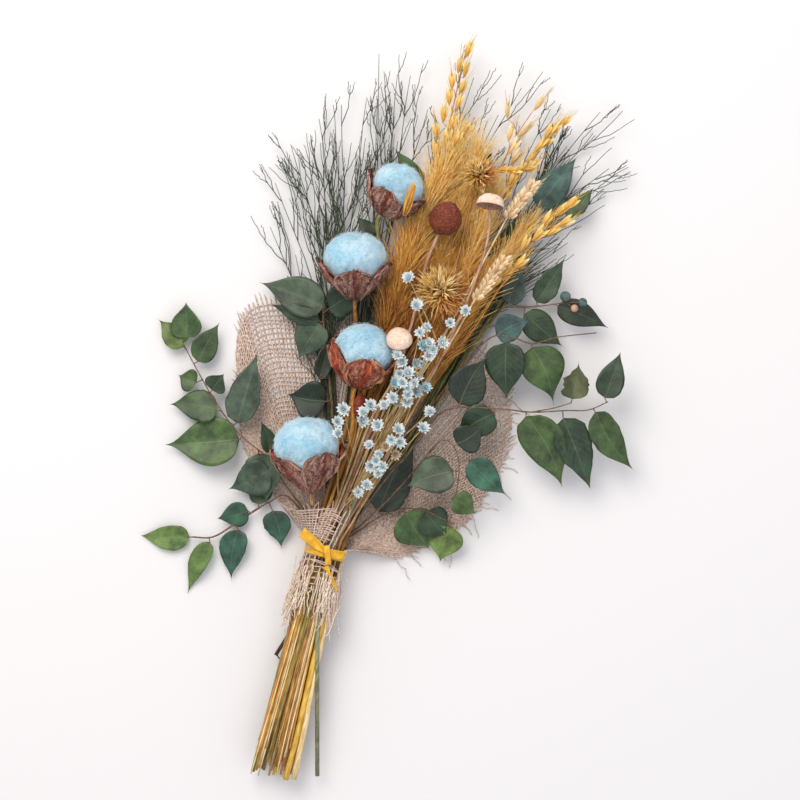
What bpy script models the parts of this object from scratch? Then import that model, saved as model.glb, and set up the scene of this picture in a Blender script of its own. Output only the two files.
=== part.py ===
"""A dried bunch of cotton stems, grasses, leafy branches and small flowers, laid on its back.

Every place is given in millimetres from the tie: u across the bunch, v along it towards the heads, and z up
from the surface that it lies on. The part's origin is the bottom centre of its box, so TIE says where the
tie is from there.
"""

import math

import bmesh
import bpy
from mathutils import Matrix, Vector

MM = 0.001
TIE = Vector((-19.5, -114.0, 0.0))
GAP = 0.3  # left between pieces that touch

# The stems stand in slots where they pass through the tie: rows up from the cloth, columns across.
ROW_HEIGHT = 3.2
COLUMN_WIDTH = 3.4
LOWEST_ROW = 4.9
STEM = 1.3  # radius of an ordinary stem
TWIG = 0.8
HAIR = 0.5
BUNDLE_SHIFT = 3.0  # the cut ends lean this far to the right
BUNDLE_SPREAD = 1.2
BUNDLE_DROP = 1.5  # and a little lower than they stand in the tie
LOWER_LENGTH = 180.0  # from the tie to the longest cut end
SHORTEST = 22.0  # the most that a stem is cut short of it

COTTON_STEM = 1.7
BURR_GAP = 1.7
BURR_WALL = 2.2
LOBES = 5
LOBE_NOTCH = math.radians(62)  # how far up the boll the burr reaches between its lobes, and at their tips
LOBE_TIP = math.radians(96)
BURR_NECK = math.radians(24)  # within this the burr is drawn down to its stem

RIBBON = 0.8  # thickness of the ribbon
RIBBON_WIDTH = 8.0
BAND_GAP = 0.8  # the band's middle stands this far outside the cloth
BOW = [(-21, 11, 34.6), (-12, 7, 35.6), (0, 2, 35.0), (8, 1, 35.0), (15, 2, 33.6)]
TAIL = [(3, -10, 33.8), (9, -16, 33.4), (16, -26, 30.5)]
TAIL_ACROSS = (4.8, 4.0, 0)

CLOTH = 1.2  # thickness of the burlap with its open weave
RING_ACROSS = 15.2  # half width of the cloth ring gathered round the stems, and half its height
RING_UP = 15.6
RING_LIFT = 1.6  # the ribbon runs between the ring and the table
RING_SHAPE = 3.0  # a ring between an ellipse and a rounded box
RING_END = 5.0  # the cloth stands straight along the stems this far on either side of the tie

LEAF_THICKNESS = 0.7
SHORT_STALK = 3.0
STALK_IN_BLADE = 0.13  # share of the blade's length that its stalk runs into
# Half width of a blade along its length, each as a share: a rhombic leaf with a drawn-out tip.
LEAF_OUTLINE = [(0.0, 0.12), (0.18, 0.72), (0.40, 1.0), (0.72, 0.44), (1.0, 0.05)]

HAIR_HEIGHT = 5.0  # the broom's hairs lie in layers over the table
HAIR_LAYER = 1.5
CUT_SHARES = (0.37, 0.618)  # these share out the cut ends' lengths among the slots

SIDES = {"round": 1, "square": 0}  # a curve's bevel resolution: six sides or four

# centre of the lint, its radius, the burr's base, the slot, the stem's way
COTTON = {
    "cotton_1": ((-18, 284, 45), 20.0, (-24, 262, 34), (3, -3.4),
                 [(-7, 60, 13.6), (-6, 110, 13.4), (-7, 160, 13), (-9, 210, 17)]),
    "cotton_2": ((-36, 224, 45), 24.0, (-28, 194, 33), (4, -3.2),
                 [(-9.5, 60, 16.8), (-10, 110, 16.8), (-17, 158, 16)]),
    "cotton_3": ((-11, 156, 46), 22.5, (-10, 129, 36), (5, -2.6),
                 [(-5, 50, 21), (-4, 95, 25)]),
    "cotton_4": ((-34, 76, 46), 24.5, (-22, 43, 37), (6.2, -2.1),
                 [(-9, 18, 26), (-14, 30, 28)]),
}

# heads of each spray of star flowers, the main stem's first, then its slot
STARS = {
    "star_spray_1": ([(5, 118, 50), (2, 105, 51), (-14, 110, 51), (-16, 100, 53), (-13, 92, 60)], (6, -1.1)),
    "star_spray_2": ([(14, 105, 57), (12, 89, 56), (21, 84, 55), (17, 74, 53), (24, 70, 53), (18, 59, 50),
                      (13, 52, 47)], (6, -0.2)),
    "star_spray_3": ([(25, 126, 50), (15, 121, 53), (27, 97, 55), (24, 91, 53)], (6.1, 0.8)),
    "star_spray_4": ([(20, 156, 58), (15, 160, 61), (20, 147, 56), (26, 149, 59), (18, 139, 57),
                      (29, 138, 58)], (5.2, 1.15)),
    "star_spray_5": ([(42, 142, 47), (36, 138, 46), (50, 125, 45), (48, 112, 44), (30, 106, 49),
                      (34, 97, 48), (33, 87, 46)], (6, 2.8)),
    "star_spray_6": ([(47, 194, 56), (35, 158, 54), (30, 158, 55), (34, 148, 54), (31, 186, 57),
                      (27, 181, 59), (45, 178, 55), (36, 175, 57), (56, 206, 54), (19, 200, 58)], (7, 1.2)),
}
STAR_RADIUS = 4.2
STAR_HEIGHT = 2.4
STAR_STALK = 28.0  # a flower leaves the main stem this far below its head
STAR_RISE = [(36, 3), (70, 10), (110, 20), (150, 27)]  # how a spray's main stem climbs along the bunch
LONG_STEM = "star_spray_6"  # the grey-green stem that stands off from the others below the tie
LONG_STEM_END = [(39, -170, 14), (12, -68, 28)]

# Straight heads on stems: slot, the stem's way, its radius, and the head's points with the radius at each
PLUMES = {
    "plume_1": ((3, -2.2), [(-2.5, 60, 13.6), (-1, 110, 13.4), (0, 160, 14)], 1.6,
                [(1, 195, 27, 4), (2, 225, 36, 6), (4, 255, 38, 6.5), (8, 280, 38, 3.5),
                 (10, 302, 37, 1.5)]),
    "plume_2": ((3, -1.0), [(2, 60, 13.6), (4, 110, 13.6), (7, 160, 14)], 1.6,
                [(10, 200, 20, 5), (11, 235, 24, 7.5), (12, 265, 24, 7.5), (15, 300, 25, 8),
                 (16, 335, 25, 2)]),
    "plume_3": ((3, 0.3), [(6.5, 60, 13.6), (12, 110, 13.6), (17, 160, 15)], 1.6,
                [(24, 200, 21, 6), (29, 235, 24, 8), (31, 265, 24, 8), (34, 300, 25, 8), (34, 328, 25, 2)]),
    "plume_4": ((3.4, 1.7), [(13, 60, 14.8), (23, 110, 15), (32, 150, 18)], 2.3,
                [(39, 190, 26, 4), (45, 225, 28, 7.5), (48, 255, 28, 7.5), (51, 275, 28, 6),
                 (54, 300, 28, 2)]),
    "plume_5": ((4.6, 3.1), [(17, 55, 18.5), (29, 100, 18.5), (42, 145, 22)], 2.3,
                [(52, 190, 27, 4), (59, 215, 29, 6), (67, 235, 30, 6), (75, 255, 29, 5), (84, 280, 27, 2)]),
}
OATS = {
    "oat_1": ((2, -1.5), [(-3, 110, 10.4), (0, 200, 12), (3, 290, 17)], 1.1,
              [(7, 325, 24, 2), (7, 345, 25, 7), (6, 370, 24, 6), (5, 390, 22, 5), (6, 408, 20, 1)]),
    "oat_2": ((2, -0.5), [(6, 110, 10.4), (16, 200, 11.5), (26, 270, 12), (36, 300, 12)], 1.1,
              [(46, 315, 22, 1.5), (52, 317, 24, 4), (58, 318, 24, 4), (63, 320, 24, 1)]),
    "oat_3": ((2, 0.5), [(12, 110, 10.4), (26, 200, 11.5), (44, 280, 14)], 1.1,
              [(55, 326, 15, 1.5), (57, 338, 19, 5), (60, 350, 20, 5), (66, 368, 20, 1)]),
    "oat_4": ((2, 1.5), [(20, 110, 10.4), (38, 200, 13), (56, 275, 17)], 1.1,
              [(64, 300, 23, 1.5), (71, 320, 26, 6), (79, 342, 26, 7), (86, 358, 25, 5), (92, 371, 23, 1)]),
    "oat_5": ((2, 2.5), [(30, 100, 11), (52, 160, 17), (67, 198, 24)], 1.1,
              [(76, 228, 36, 1.5), (83, 243, 38, 5), (91, 266, 40, 6), (103, 288, 39, 6), (117, 312, 36, 1)]),
    "wheat_1": ((4.4, 0.95), [(11, 60, 20.5), (24, 110, 25), (44, 180, 35), (57, 235, 38)], 1.1,
                [(70, 288, 40, 2), (74, 296, 41, 5), (78, 306, 41, 5), (81, 314, 40, 1)]),
    "wheat_2": ((5, 2.1), [(13, 50, 25), (24, 100, 31), (42, 150, 39), (54, 190, 42)], 1.1,
                [(61, 218, 43, 2), (66, 230, 44, 5), (70, 242, 44, 5), (75, 252, 42, 1)]),
    "seed_pod": ((5, -1.5), [(-1.5, 50, 22), (-1, 90, 29)], 1.0,
                 [(-3, 108, 34, 1.5), (-3, 113, 35, 4.5), (-4, 119, 36, 4), (-5, 124, 36, 1.5)]),
}
# slot, the stem's way, the head's middle, its radius, the way it faces
SPIKY = {
    "spiky_flower_1": ((4, -0.8), [(3.5, 60, 16.8), (7, 120, 17), (15, 165, 24), (25, 196, 33)],
                       (35, 216, 48), 17.0, (0.1, 0.4, 0.9)),
    "spiky_flower_2": ((4, 0.1), [(7.5, 60, 16.8), (13.5, 120, 17), (24, 165, 24), (37, 200, 32),
                                  (40, 240, 35.5), (39, 275, 38)], (39, 309, 45), 13.0, (0.0, 0.5, 0.86)),
}
CAPS = {
    # slot, the stick's way, where it meets the cap, the cap's radius and height, the way it faces
    "fungus_cap_1": ((6, 1.9), [(20, 60, 28), (36, 120, 38), (47, 165, 44), (52, 195, 47), (57, 230, 52),
                                (58, 262, 56)], (53, 288, 58), 10.5, 9.0, (-0.1, 0.96, 0.25)),
    "fungus_cap_2": ((5, -0.7), [(3, 60, 27), (8.5, 110, 38), (17, 145, 50)], (13, 172, 58), 10.0, 8.0,
                     (-0.15, 0.6, 0.79)),
}
CAP_UNDERSIDE = [(0.86, -0.05), (0.75, 0.25), (0.35, 0.3), (0.0, 0.1)]  # shares of the cap's radius and height

# slot, the stem's way, where it meets the globe, the globe's radius
GLOBE = {"seed_globe": ((5, 0.2), [(5, 60, 20.5), (11, 110, 22), (18, 150, 27), (19, 200, 36), (18, 235, 44)],
                        (21, 257, 48), 12.5)}

# Leafy branches: slot, main twig, side twigs, then leaves as
# (where the blade starts, its tip, its width, how far it is turned on its midrib)
BRANCHES = {
    "leaf_branch_left_upper": (
        (1, -2), [(-16, 20, 10), (-42, 40, 12), (-62, 58, 13), (-88, 70, 13), (-113, 90, 12), (-135, 112, 10),
                  (-150, 128, 8)], [],
        [((-146, 122, 9), (-174, 141, 6), 20, 12), ((-148, 131, 9), (-155, 158, 12), 25, -10),
         ((-134, 116, 11), (-125, 150, 13), 20, 10), ((-131, 100, 10), (-147, 102, 7), 18, 0),
         ((-117, 95, 13), (-112, 112, 16), 18, -8), ((-107, 82, 12), (-149, 78, 8), 26, 10),
         ((-92, 78, 15), (-92, 136, 17), 27, -12), ((-87, 66, 11), (-145, 46, 6), 38, 8),
         ((-58, 50, 14), (-86, 26, 10), 28, -6), ((-61, 62, 15), (-76, 86, 17), 12, 10)]),
    "leaf_branch_left_lower": (
        (1, -3), [(-15, 16, 7.5), (-40, 33, 7), (-52, 25, 7), (-62, 15, 7), (-75, 0, 7), (-88, -13, 6),
                  (-103, -17, 5)], [],
        [((-48, 19, 8), (-34, -8, 7), 22, 8), ((-66, 14, 9), (-88, 2, 9), 20, -14),
         ((-70, -2, 8), (-65, -42, 5), 22, 10), ((-104, -18, 6), (-143, -27, 4), 20, -6),
         ((-89, -17, 7), (-96, -61, 4), 16, 10), ((-60, 19, 7.5), (-66, 48, 5), 18, -6)]),
    "leaf_branch_left_inner": (
        (1, -1), [(-9, 55, 7.5), (-24, 110, 11), (-40, 150, 13), (-50, 178, 13)], [],
        [((-50, 182, 14), (-104, 188, 12), 30, 8), ((-49, 170, 15), (-93, 173, 15), 16, -10),
         ((-49, 172, 12), (-60, 137, 9), 27, 8), ((-30, 112, 12), (-62, 110, 12), 31, -4),
         ((-39, 128, 14), (-35, 168, 16), 14, 10)]),
    "leaf_branch_top": (
        (1, 0), [(0, 60, 7.5), (0, 140, 8.5), (-4, 220, 10), (0, 285, 13)],
        [[(-4, 225, 10), (-16, 240, 11), (-25, 248, 12)], [(-1, 270, 12), (20, 300, 13), (38, 316, 14)]],
        [((-24, 247, 12), (-45, 258, 13), 11, 8), ((-1, 296, 14), (-30, 316, 16), 11, -8),
         ((36, 314, 14), (45, 332, 15), 10, 6)]),
    "leaf_branch_right_top": (
        (1, 1), [(12, 60, 7.5), (28, 140, 8.5), (50, 210, 10), (76, 262, 13), (89, 298, 15)],
        [[(76, 262, 13), (97, 280, 14), (112, 297, 15)]],
        [((89, 298, 15), (110, 346, 17), 25, 10), ((99, 284, 14), (104, 334, 12), 8, -6),
         ((70, 250, 13), (76, 290, 17), 15, 10), ((112, 297, 16), (128, 327, 17), 14, -8)]),
    "leaf_branch_right_upper": (
        (1, 2), [(17, 60, 7.5), (37, 130, 9), (60, 185, 13), (80, 215, 17), (104, 223, 20), (130, 234, 23)], [],
        [((108, 228, 20), (121, 269, 24), 18, 8), ((86, 220, 19), (93, 252, 22), 18, -10),
         ((121, 231, 22), (167, 223, 20), 19, 10), ((101, 217, 20), (139, 200, 18), 22, -8)]),
    "leaf_branch_right_middle": (
        (2, 3.5), [(23, 55, 14.5), (46, 120, 23), (75, 185, 28), (92, 197, 28), (112, 196, 28), (130, 206, 28),
                   (158, 217, 27)], [],
        [((80, 195, 27), (108, 214, 30), 22, 8), ((93, 192, 28), (105, 148, 25), 28, 10),
         ((112, 194, 28), (141, 155, 25), 33, -8)]),
    "leaf_branch_right_outer": (
        (3, 3.5), [(24, 50, 15.5), (46, 100, 24), (62, 130, 30), (100, 141, 33), (125, 145, 33), (150, 153, 32),
                   (167, 158, 32), (180, 168, 32)],
        [[(125, 145, 33), (140, 152, 33), (153, 160, 34)]],
        [((153, 160, 34), (150, 192, 37), 24, 10), ((177, 170, 32), (179, 207, 35), 20, -8),
         ((172, 158, 32), (215, 121, 26), 22, 10), ((150, 147, 31), (185, 100, 24), 26, -6),
         ((122, 141, 32), (164, 94, 25), 31, 8), ((68, 136, 32), (82, 179, 35), 27, 10),
         ((98, 137, 31), (74, 112, 27), 24, -6)]),
    "leaf_branch_right_lower": (
        (1, 3), [(20, 24, 11.5), (37, 52, 18), (52, 82, 26), (64, 106, 32), (76, 103, 33), (83, 88, 31),
                 (86, 70, 29)], [],
        [((89, 97, 32), (124, 78, 27), 21, 8), ((79, 86, 31), (46, 64, 31), 28, 10),
         ((84, 66, 30), (105, 58, 27), 17, -8), ((74, 104, 34), (92, 126, 36), 22, 8)]),
    "leaf_branch_right_base": (
        (0.3, 2.45), [(18, 18, 7.4), (36, 38, 9), (60, 50, 12), (89, 46, 12)], [],
        [((32, 40, 8), (46, 104, 9), 30, 6), ((50, 45, 12), (79, 21, 8), 32, -8),
         ((89, 44, 13), (88, 13, 8), 26, 10), ((64, 52, 14), (90, 34, 11), 24, -8)]),
}
# slot, the stem's way, the tips of its hairs in plan
BROOMS = {
    "broom_left": ((0, -1.5), [(-16, 80, 4), (-40, 150, 5), (-58, 200, 5.5)],
                   [(-107, 232), (-112, 266), (-108, 298), (-92, 323), (-78, 338), (-60, 346), (-70, 300)]),
    "broom_top_left": ((0, -0.5), [(-6, 80, 4), (-14, 160, 5), (-26, 240, 5.5)],
                       [(-52, 350), (-60, 384), (-42, 372), (-32, 374), (-12, 352), (-46, 310)]),
    "broom_top": ((0, 0.5), [(4, 80, 4), (12, 160, 5), (22, 270, 5.5)],
                  [(0, 332), (16, 385), (27, 352), (42, 362), (54, 387), (46, 330)]),
    "broom_right": ((0, 1.5), [(16, 80, 4), (38, 160, 5), (68, 228, 5.5)],
                    [(80, 377), (100, 352), (118, 385), (110, 320), (136, 344), (124, 318)]),
}


def place(point):
    return (Vector(point[:3]) + TIE) * MM


def slot(row, column):
    return column * COLUMN_WIDTH, LOWEST_ROW + row * ROW_HEIGHT


def through_the_tie(place_in_tie, own_end=None):
    """The lower run of a stem: its cut end, a point above it, and straight through the ring."""
    u, z = slot(*place_in_tie)
    shortening = SHORTEST * ((place_in_tie[0] * CUT_SHARES[0] + place_in_tie[1] * CUT_SHARES[1]) % 1.0)
    cut_end = (BUNDLE_SHIFT * 1.2 + BUNDLE_SPREAD * u, shortening - LOWER_LENGTH, z - BUNDLE_DROP)
    middle = (0.45 * cut_end[0] + 0.55 * u, -72.0, z - 0.45 * BUNDLE_DROP)
    return [*(own_end or [cut_end, middle]), (u, -16, z), (u, 12, z)]


def stem_path(place_in_tie, way, own_end=None):
    """A stem's whole path, straight below the tie and smooth above it."""
    lower = [Vector(p) for p in through_the_tie(place_in_tie, own_end)]
    upper = smooth([lower[-1], *way], 2)
    return [*lower[:-1], *upper]


def smooth(points, steps):
    """Points along a Catmull-Rom curve through the given ones, of any number of coordinates."""
    ends = [Vector(p) for p in points]
    ends = [ends[0] * 2 - ends[1], *ends, ends[-1] * 2 - ends[-2]]
    path = []
    for a, b, c, d in zip(ends, ends[1:], ends[2:], ends[3:]):
        for step in range(steps):
            t = step / steps
            path.append(0.5 * (2 * b + (c - a) * t + (2 * a - 5 * b + 4 * c - d) * t * t
                               + (3 * b - a - 3 * c + d) * t ** 3))
    path.append(ends[-2])
    return path


def finish(name, colour, roughness):
    material = bpy.data.materials.new(name)
    material.use_nodes = True
    shader = material.node_tree.nodes["Principled BSDF"]
    shader.inputs["Base Color"].default_value = (*colour, 1.0)
    shader.inputs["Roughness"].default_value = roughness
    material.diffuse_color = (*colour, 1.0)
    return material


def add(name, data, material, collection):
    thing = bpy.data.objects.new(name, data)
    if not data.materials:
        data.materials.append(material)
    collection.objects.link(thing)
    return thing


def tube_curve(name, path, radii, sides="round"):
    """A curve object's data: a tube along the path, with its own radius at each point."""
    curve = bpy.data.curves.new(name, "CURVE")
    curve.dimensions = "3D"
    curve.bevel_depth = MM
    curve.bevel_resolution = SIDES[sides]
    curve.use_fill_caps = True
    line = curve.splines.new("POLY")
    line.points.add(len(path) - 1)
    for point, where, radius in zip(line.points, path, radii):
        point.co = (*place(where), 1.0)
        point.radius = radius
    return curve


def even(path, radius):
    return [radius] * len(path)


def limb(path, radii, sides="square"):
    """A tube as a mesh, ready for a Boolean."""
    curve = bpy.data.objects.new("limb_curve", tube_curve("limb", path, radii, sides))
    mesh = bpy.data.meshes.new_from_object(curve)
    bpy.data.objects.remove(curve)
    welded = bmesh.new()
    welded.from_mesh(mesh)
    bmesh.ops.remove_doubles(welded, verts=welded.verts, dist=1e-6)
    welded.to_mesh(mesh)
    welded.free()
    return mesh


def joined(name, trunk, limbs, material, parts, helpers):
    """One closed body: the trunk with every limb united to it."""
    body = add(name, trunk, material, parts)
    if not limbs:
        return body
    operands = bpy.data.collections.new(name + "_limbs")
    helpers.children.link(operands)
    for number, mesh in enumerate(limbs):
        helper = add(f"{name}_limb_{number}", mesh, material, operands)
        helper.hide_render = True
        helper.display_type = "WIRE"
    union = body.modifiers.new("limbs", "BOOLEAN")
    union.operation = "UNION"
    union.solver = "EXACT"
    union.operand_type = "COLLECTION"
    union.collection = operands
    return body


def nearest(runs, point):
    """The point on any of the twigs that lies nearest in plan, part of the way between two of a twig's own."""
    shares = (0.15, 0.4, 0.65, 0.9)
    places = [a.lerp(b, share) for run in runs for a, b in zip(run, run[1:]) for share in shares]
    return min(places, key=lambda p: (p[0] - point[0]) ** 2 + (p[1] - point[1]) ** 2)


def leaf(root, base, tip, width, turn):
    """A blade and its stalk: a small grid drawn out to the outline, and a thin rod from the twig into it."""
    root, base, tip = Vector(root), Vector(base), Vector(tip)
    if (base - root).length < SHORT_STALK:
        base = root + (tip - root).normalized() * SHORT_STALK
    along = tip - base
    across = along.cross(Vector((0, 0, 1))).normalized()
    across.rotate(Matrix.Rotation(math.radians(turn), 3, along))
    rows = len(LEAF_OUTLINE) - 1
    blade = bmesh.new()
    bmesh.ops.create_grid(blade, x_segments=1, y_segments=rows, size=0.5)
    for vert in blade.verts:
        share, wide = LEAF_OUTLINE[round((vert.co.y + 0.5) * rows)]
        vert.co = place(base + along * share + across * math.copysign(wide * width / 2, vert.co.x))
    bmesh.ops.solidify(blade, geom=blade.faces, thickness=LEAF_THICKNESS * MM)
    bmesh.ops.recalc_face_normals(blade, faces=blade.faces)
    mesh = bpy.data.meshes.new("leaf")
    blade.to_mesh(mesh)
    blade.free()
    stalk = [root, base + along * STALK_IN_BLADE]
    return [mesh, limb(stalk, even(stalk, HAIR))]


def cup(name, centre, radius, base, material, parts):
    """A cotton burr: a thin shell round the lint's lower half, in pointed lobes, drawn down to its stem."""
    centre, base = place(centre), place(base)
    axis = (centre - base).normalized()
    turn = axis.to_track_quat("Z", "Y").to_matrix()
    reach = (centre - base).length
    skin = (radius + BURR_GAP + BURR_WALL) * MM
    shell = bmesh.new()
    bmesh.ops.create_grid(shell, x_segments=4 * LOBES, y_segments=5, size=0.5)
    for vert in shell.verts:
        around = (vert.co.x + 0.5) * 2 * math.pi
        rim = LOBE_NOTCH + (LOBE_TIP - LOBE_NOTCH) * abs(math.cos(around * LOBES / 2)) ** 0.8
        polar = (vert.co.y + 0.5) * rim
        far = skin + (reach - skin) * math.exp(-(polar / BURR_NECK) ** 2)
        flat = far * math.sin(polar)
        level = -far * math.cos(polar)
        vert.co = centre + turn @ Vector((flat * math.cos(around), flat * math.sin(around), level))
    bmesh.ops.remove_doubles(shell, verts=shell.verts, dist=1e-5)
    bmesh.ops.recalc_face_normals(shell, faces=shell.faces)
    if sum(face.normal.dot(face.calc_center_median() - centre) for face in shell.faces) < 0:
        bmesh.ops.reverse_faces(shell, faces=shell.faces)
    mesh = bpy.data.meshes.new(name)
    shell.to_mesh(mesh)
    shell.free()
    burr = add(name, mesh, material, parts)
    wall = burr.modifiers.new("wall", "SOLIDIFY")
    wall.thickness = BURR_WALL * MM
    wall.offset = -1.0
    return burr


def ball(name, centre, radius, material, parts, flatten=1.0, axis=(0, 0, 1)):
    mesh = bpy.data.meshes.new(name)
    shape = bmesh.new()
    bmesh.ops.create_uvsphere(shape, u_segments=16, v_segments=8, radius=radius * MM)
    bmesh.ops.scale(shape, vec=(1, 1, flatten), verts=shape.verts)
    turn = Vector(axis).to_track_quat("Z", "Y").to_matrix().to_4x4()
    bmesh.ops.transform(shape, matrix=Matrix.Translation(place(centre)) @ turn, verts=shape.verts)
    shape.to_mesh(mesh)
    shape.free()
    mesh.shade_smooth()
    return add(name, mesh, material, parts)


def dome(name, seat, radius, height, axis, material, parts):
    """A fungus cap: a turned dome, hollow underneath, whose middle rests on its stick."""
    turned = bmesh.new()
    outer = [(radius * math.sin(a), height * math.cos(a)) for a in (0.0, 0.4, 0.8, 1.2, math.pi / 2)]
    under = [(radius * across, height * up) for across, up in CAP_UNDERSIDE]
    corners = [turned.verts.new((x * MM, 0, z * MM)) for x, z in outer + under]
    profile = [turned.edges.new(pair) for pair in zip(corners, corners[1:])]
    bmesh.ops.spin(turned, geom=corners + profile, cent=(0, 0, 0), axis=(0, 0, 1), angle=2 * math.pi,
                   steps=16, use_merge=True)
    bmesh.ops.remove_doubles(turned, verts=turned.verts, dist=1e-6)
    bmesh.ops.recalc_face_normals(turned, faces=turned.faces)
    turn = Vector(axis).to_track_quat("Z", "Y").to_matrix().to_4x4()
    lift = Matrix.Translation((0, 0, (GAP - CAP_UNDERSIDE[-1][1] * height) * MM))
    bmesh.ops.transform(turned, matrix=Matrix.Translation(place(seat)) @ turn @ lift, verts=turned.verts)
    mesh = bpy.data.meshes.new(name)
    turned.to_mesh(mesh)
    turned.free()
    return add(name, mesh, material, parts)


def disc(centre, radius, height):
    """A star flower's plain body, facing up."""
    mesh = bpy.data.meshes.new("flower")
    shape = bmesh.new()
    bmesh.ops.create_cone(shape, cap_ends=True, segments=6, radius1=radius * 0.45 * MM, radius2=radius * MM,
                          depth=height * MM)
    bmesh.ops.translate(shape, vec=place(centre), verts=shape.verts)
    shape.to_mesh(mesh)
    shape.free()
    return mesh


def star_spray(name, heads, tie_slot, material, parts, helpers):
    """Its stem runs to the farthest flower; every other flower leaves it on a stalk of its own."""
    far = heads[0]
    u, z = slot(*tie_slot)
    middle = [(u + (far[0] - u) * (v / far[1]) ** 1.1, v, z + rise) for v, rise in STAR_RISE if v < far[1] - 20]
    own_end, radius = (LONG_STEM_END, COTTON_STEM) if name == LONG_STEM else (None, STEM)
    path = stem_path(tie_slot, [*middle, far], own_end)
    trunk = limb(path, even(path, radius), "round")
    limbs = [disc(head, STAR_RADIUS, STAR_HEIGHT) for head in heads]
    for head in heads[1:]:
        low = min(path[4:], key=lambda p: abs(p[1] - max(36, head[1] - STAR_STALK)))
        bend = (low + Vector(head)) / 2 + Vector((0, 0, 3))
        stalk = [low, bend, head]
        limbs.append(limb(stalk, even(stalk, HAIR)))
    return joined(name, trunk, limbs, material, parts, helpers)


def leaf_branch(name, tie_slot, twig, side_twigs, leaves, material, parts, helpers):
    path = stem_path(tie_slot, twig)
    radii = [STEM - (STEM - TWIG) * index / (len(path) - 1) for index in range(len(path))]
    limbs = []
    runs = [path[3:]]
    for side in side_twigs:
        side_path = smooth([nearest(runs, side[0]), *side[1:]], 2)
        limbs.append(limb(side_path, even(side_path, HAIR)))
        runs.append(side_path)
    for base, tip, width, turn in leaves:
        limbs += leaf(nearest(runs, base), base, tip, width, turn)
    return joined(name, limb(path, radii, "round"), limbs, material, parts, helpers)


def broom(name, tie_slot, way, tips, material, parts, helpers):
    """A wiry stem that splits into long hairs, each leaving it a little farther up."""
    path = stem_path(tie_slot, way)
    limbs = []
    upper = path[-4:]
    for number, (u, v) in enumerate(tips):
        start = upper[number * 3 // (len(tips) - 1)]
        height = HAIR_HEIGHT + HAIR_LAYER * (number % 3)
        bend = (start[0] * 0.6 + u * 0.4, start[1] * 0.45 + v * 0.55, height)
        hair = smooth([start, bend, (u, v, height + 2)], 2)
        limbs.append(limb(hair, [TWIG] * 2 + [HAIR] * (len(hair) - 2)))
    return joined(name, limb(path, even(path, STEM), "round"), limbs, material, parts, helpers)


def ring(angle, grow=0.0):
    """A point of the gathered ring, by its angle from straight down, positive towards the right."""
    s, c = math.sin(angle), -math.cos(angle)
    u = math.copysign(abs(s) ** (2 / RING_SHAPE), s) * (RING_ACROSS + grow)
    z = math.copysign(abs(c) ** (2 / RING_SHAPE), c) * (RING_UP + grow)
    return u, z + RING_UP + RING_LIFT


# The cloth's outer edge above the tie, by angle round the ring: the back panel lies flat on the table,
# and the left end comes over the stems as a short ruffle.
CLOTH_EDGE = [(-195, 12, 31, 35), (-165, 0, 36, 35.5), (-135, -16, 31, 34.5), (-112, -32, 25, 15),
              (-95, -46, 28, 2.8), (-80, -66, 46, 0.4), (-66, -84, 64, 0), (-52, -101, 108, 0), (-40, -110, 146, 0),
              (-30, -106, 172, 0), (-18, -62, 184, 0), (0, -4, 188, 0), (18, 46, 188, 0), (30, 82, 184, 0),
              (42, 108, 150, 0), (54, 117, 116, 0), (66, 111, 78, 0), (78, 100, 48, 0.2), (90, 76, 24, 0.8),
              (104, 56, 9, 2), (122, 32, 9, 17)]
SKIRT = 46.0  # the cloth goes this far below the tie
SKIRT_WAVE = 0.14
SKIRT_FLARE = 0.08
FLAT_FROM = 0.35  # from this share of the way out the cloth lies on the table
STATIONS = [-1.0, -0.001, 0.001, 0.1, FLAT_FROM, 1.0]  # shares of the way down the skirt, and out to the edge


def burlap(material, parts):
    """One piece of cloth: skirt, gathered ring, and the fan above it, with its thickness inside."""
    outline = smooth([(math.radians(a), u, v, z) for a, u, v, z in CLOTH_EDGE], 2)
    sheet = bmesh.new()
    bmesh.ops.create_grid(sheet, x_segments=len(outline) - 1, y_segments=len(STATIONS) - 1, size=0.5)
    for vert in sheet.verts:
        angle, edge_u, edge_v, edge_z = outline[round((vert.co.x + 0.5) * (len(outline) - 1))]
        share = STATIONS[round((vert.co.y + 0.5) * (len(STATIONS) - 1))]
        u, z = ring(angle)
        if share <= 0:
            length = SKIRT * (1 - SKIRT_WAVE + SKIRT_WAVE * math.cos(3 * angle))
            vert.co = place((u * (1 - SKIRT_FLARE * share), (length - RING_END) * share - RING_END, z))
        else:
            still_up = max(0.0, 1 - share / FLAT_FROM) ** 1.6
            height = max(0.0, z * still_up + edge_z * (1 - still_up))
            vert.co = place((u + (edge_u - u) * share, RING_END + (edge_v - RING_END) * share, height))
    bmesh.ops.recalc_face_normals(sheet, faces=sheet.faces)
    if sum(face.normal.z for face in sheet.faces if face.calc_center_median().z < MM) < 0:
        bmesh.ops.reverse_faces(sheet, faces=sheet.faces)
    mesh = bpy.data.meshes.new("burlap_wrap")
    sheet.to_mesh(mesh)
    sheet.free()
    cloth = add("burlap_wrap", mesh, material, parts)
    wall = cloth.modifiers.new("cloth", "SOLIDIFY")
    wall.thickness = CLOTH * MM
    wall.offset = 1.0
    return cloth


def strip(name, path, across, material, parts):
    """A flat ribbon along a path, with its width along the given direction."""
    ribbon = bmesh.new()
    bmesh.ops.create_grid(ribbon, x_segments=len(path) - 1, y_segments=1, size=0.5)
    for vert in ribbon.verts:
        centre = Vector(path[round((vert.co.x + 0.5) * (len(path) - 1))][:3])
        vert.co = place(centre + Vector(across) * math.copysign(0.5, vert.co.y))
    mesh = bpy.data.meshes.new(name)
    ribbon.to_mesh(mesh)
    ribbon.free()
    piece = add(name, mesh, material, parts)
    wall = piece.modifiers.new("ribbon", "SOLIDIFY")
    wall.thickness = RIBBON * MM
    wall.offset = 0.0
    return piece


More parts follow.
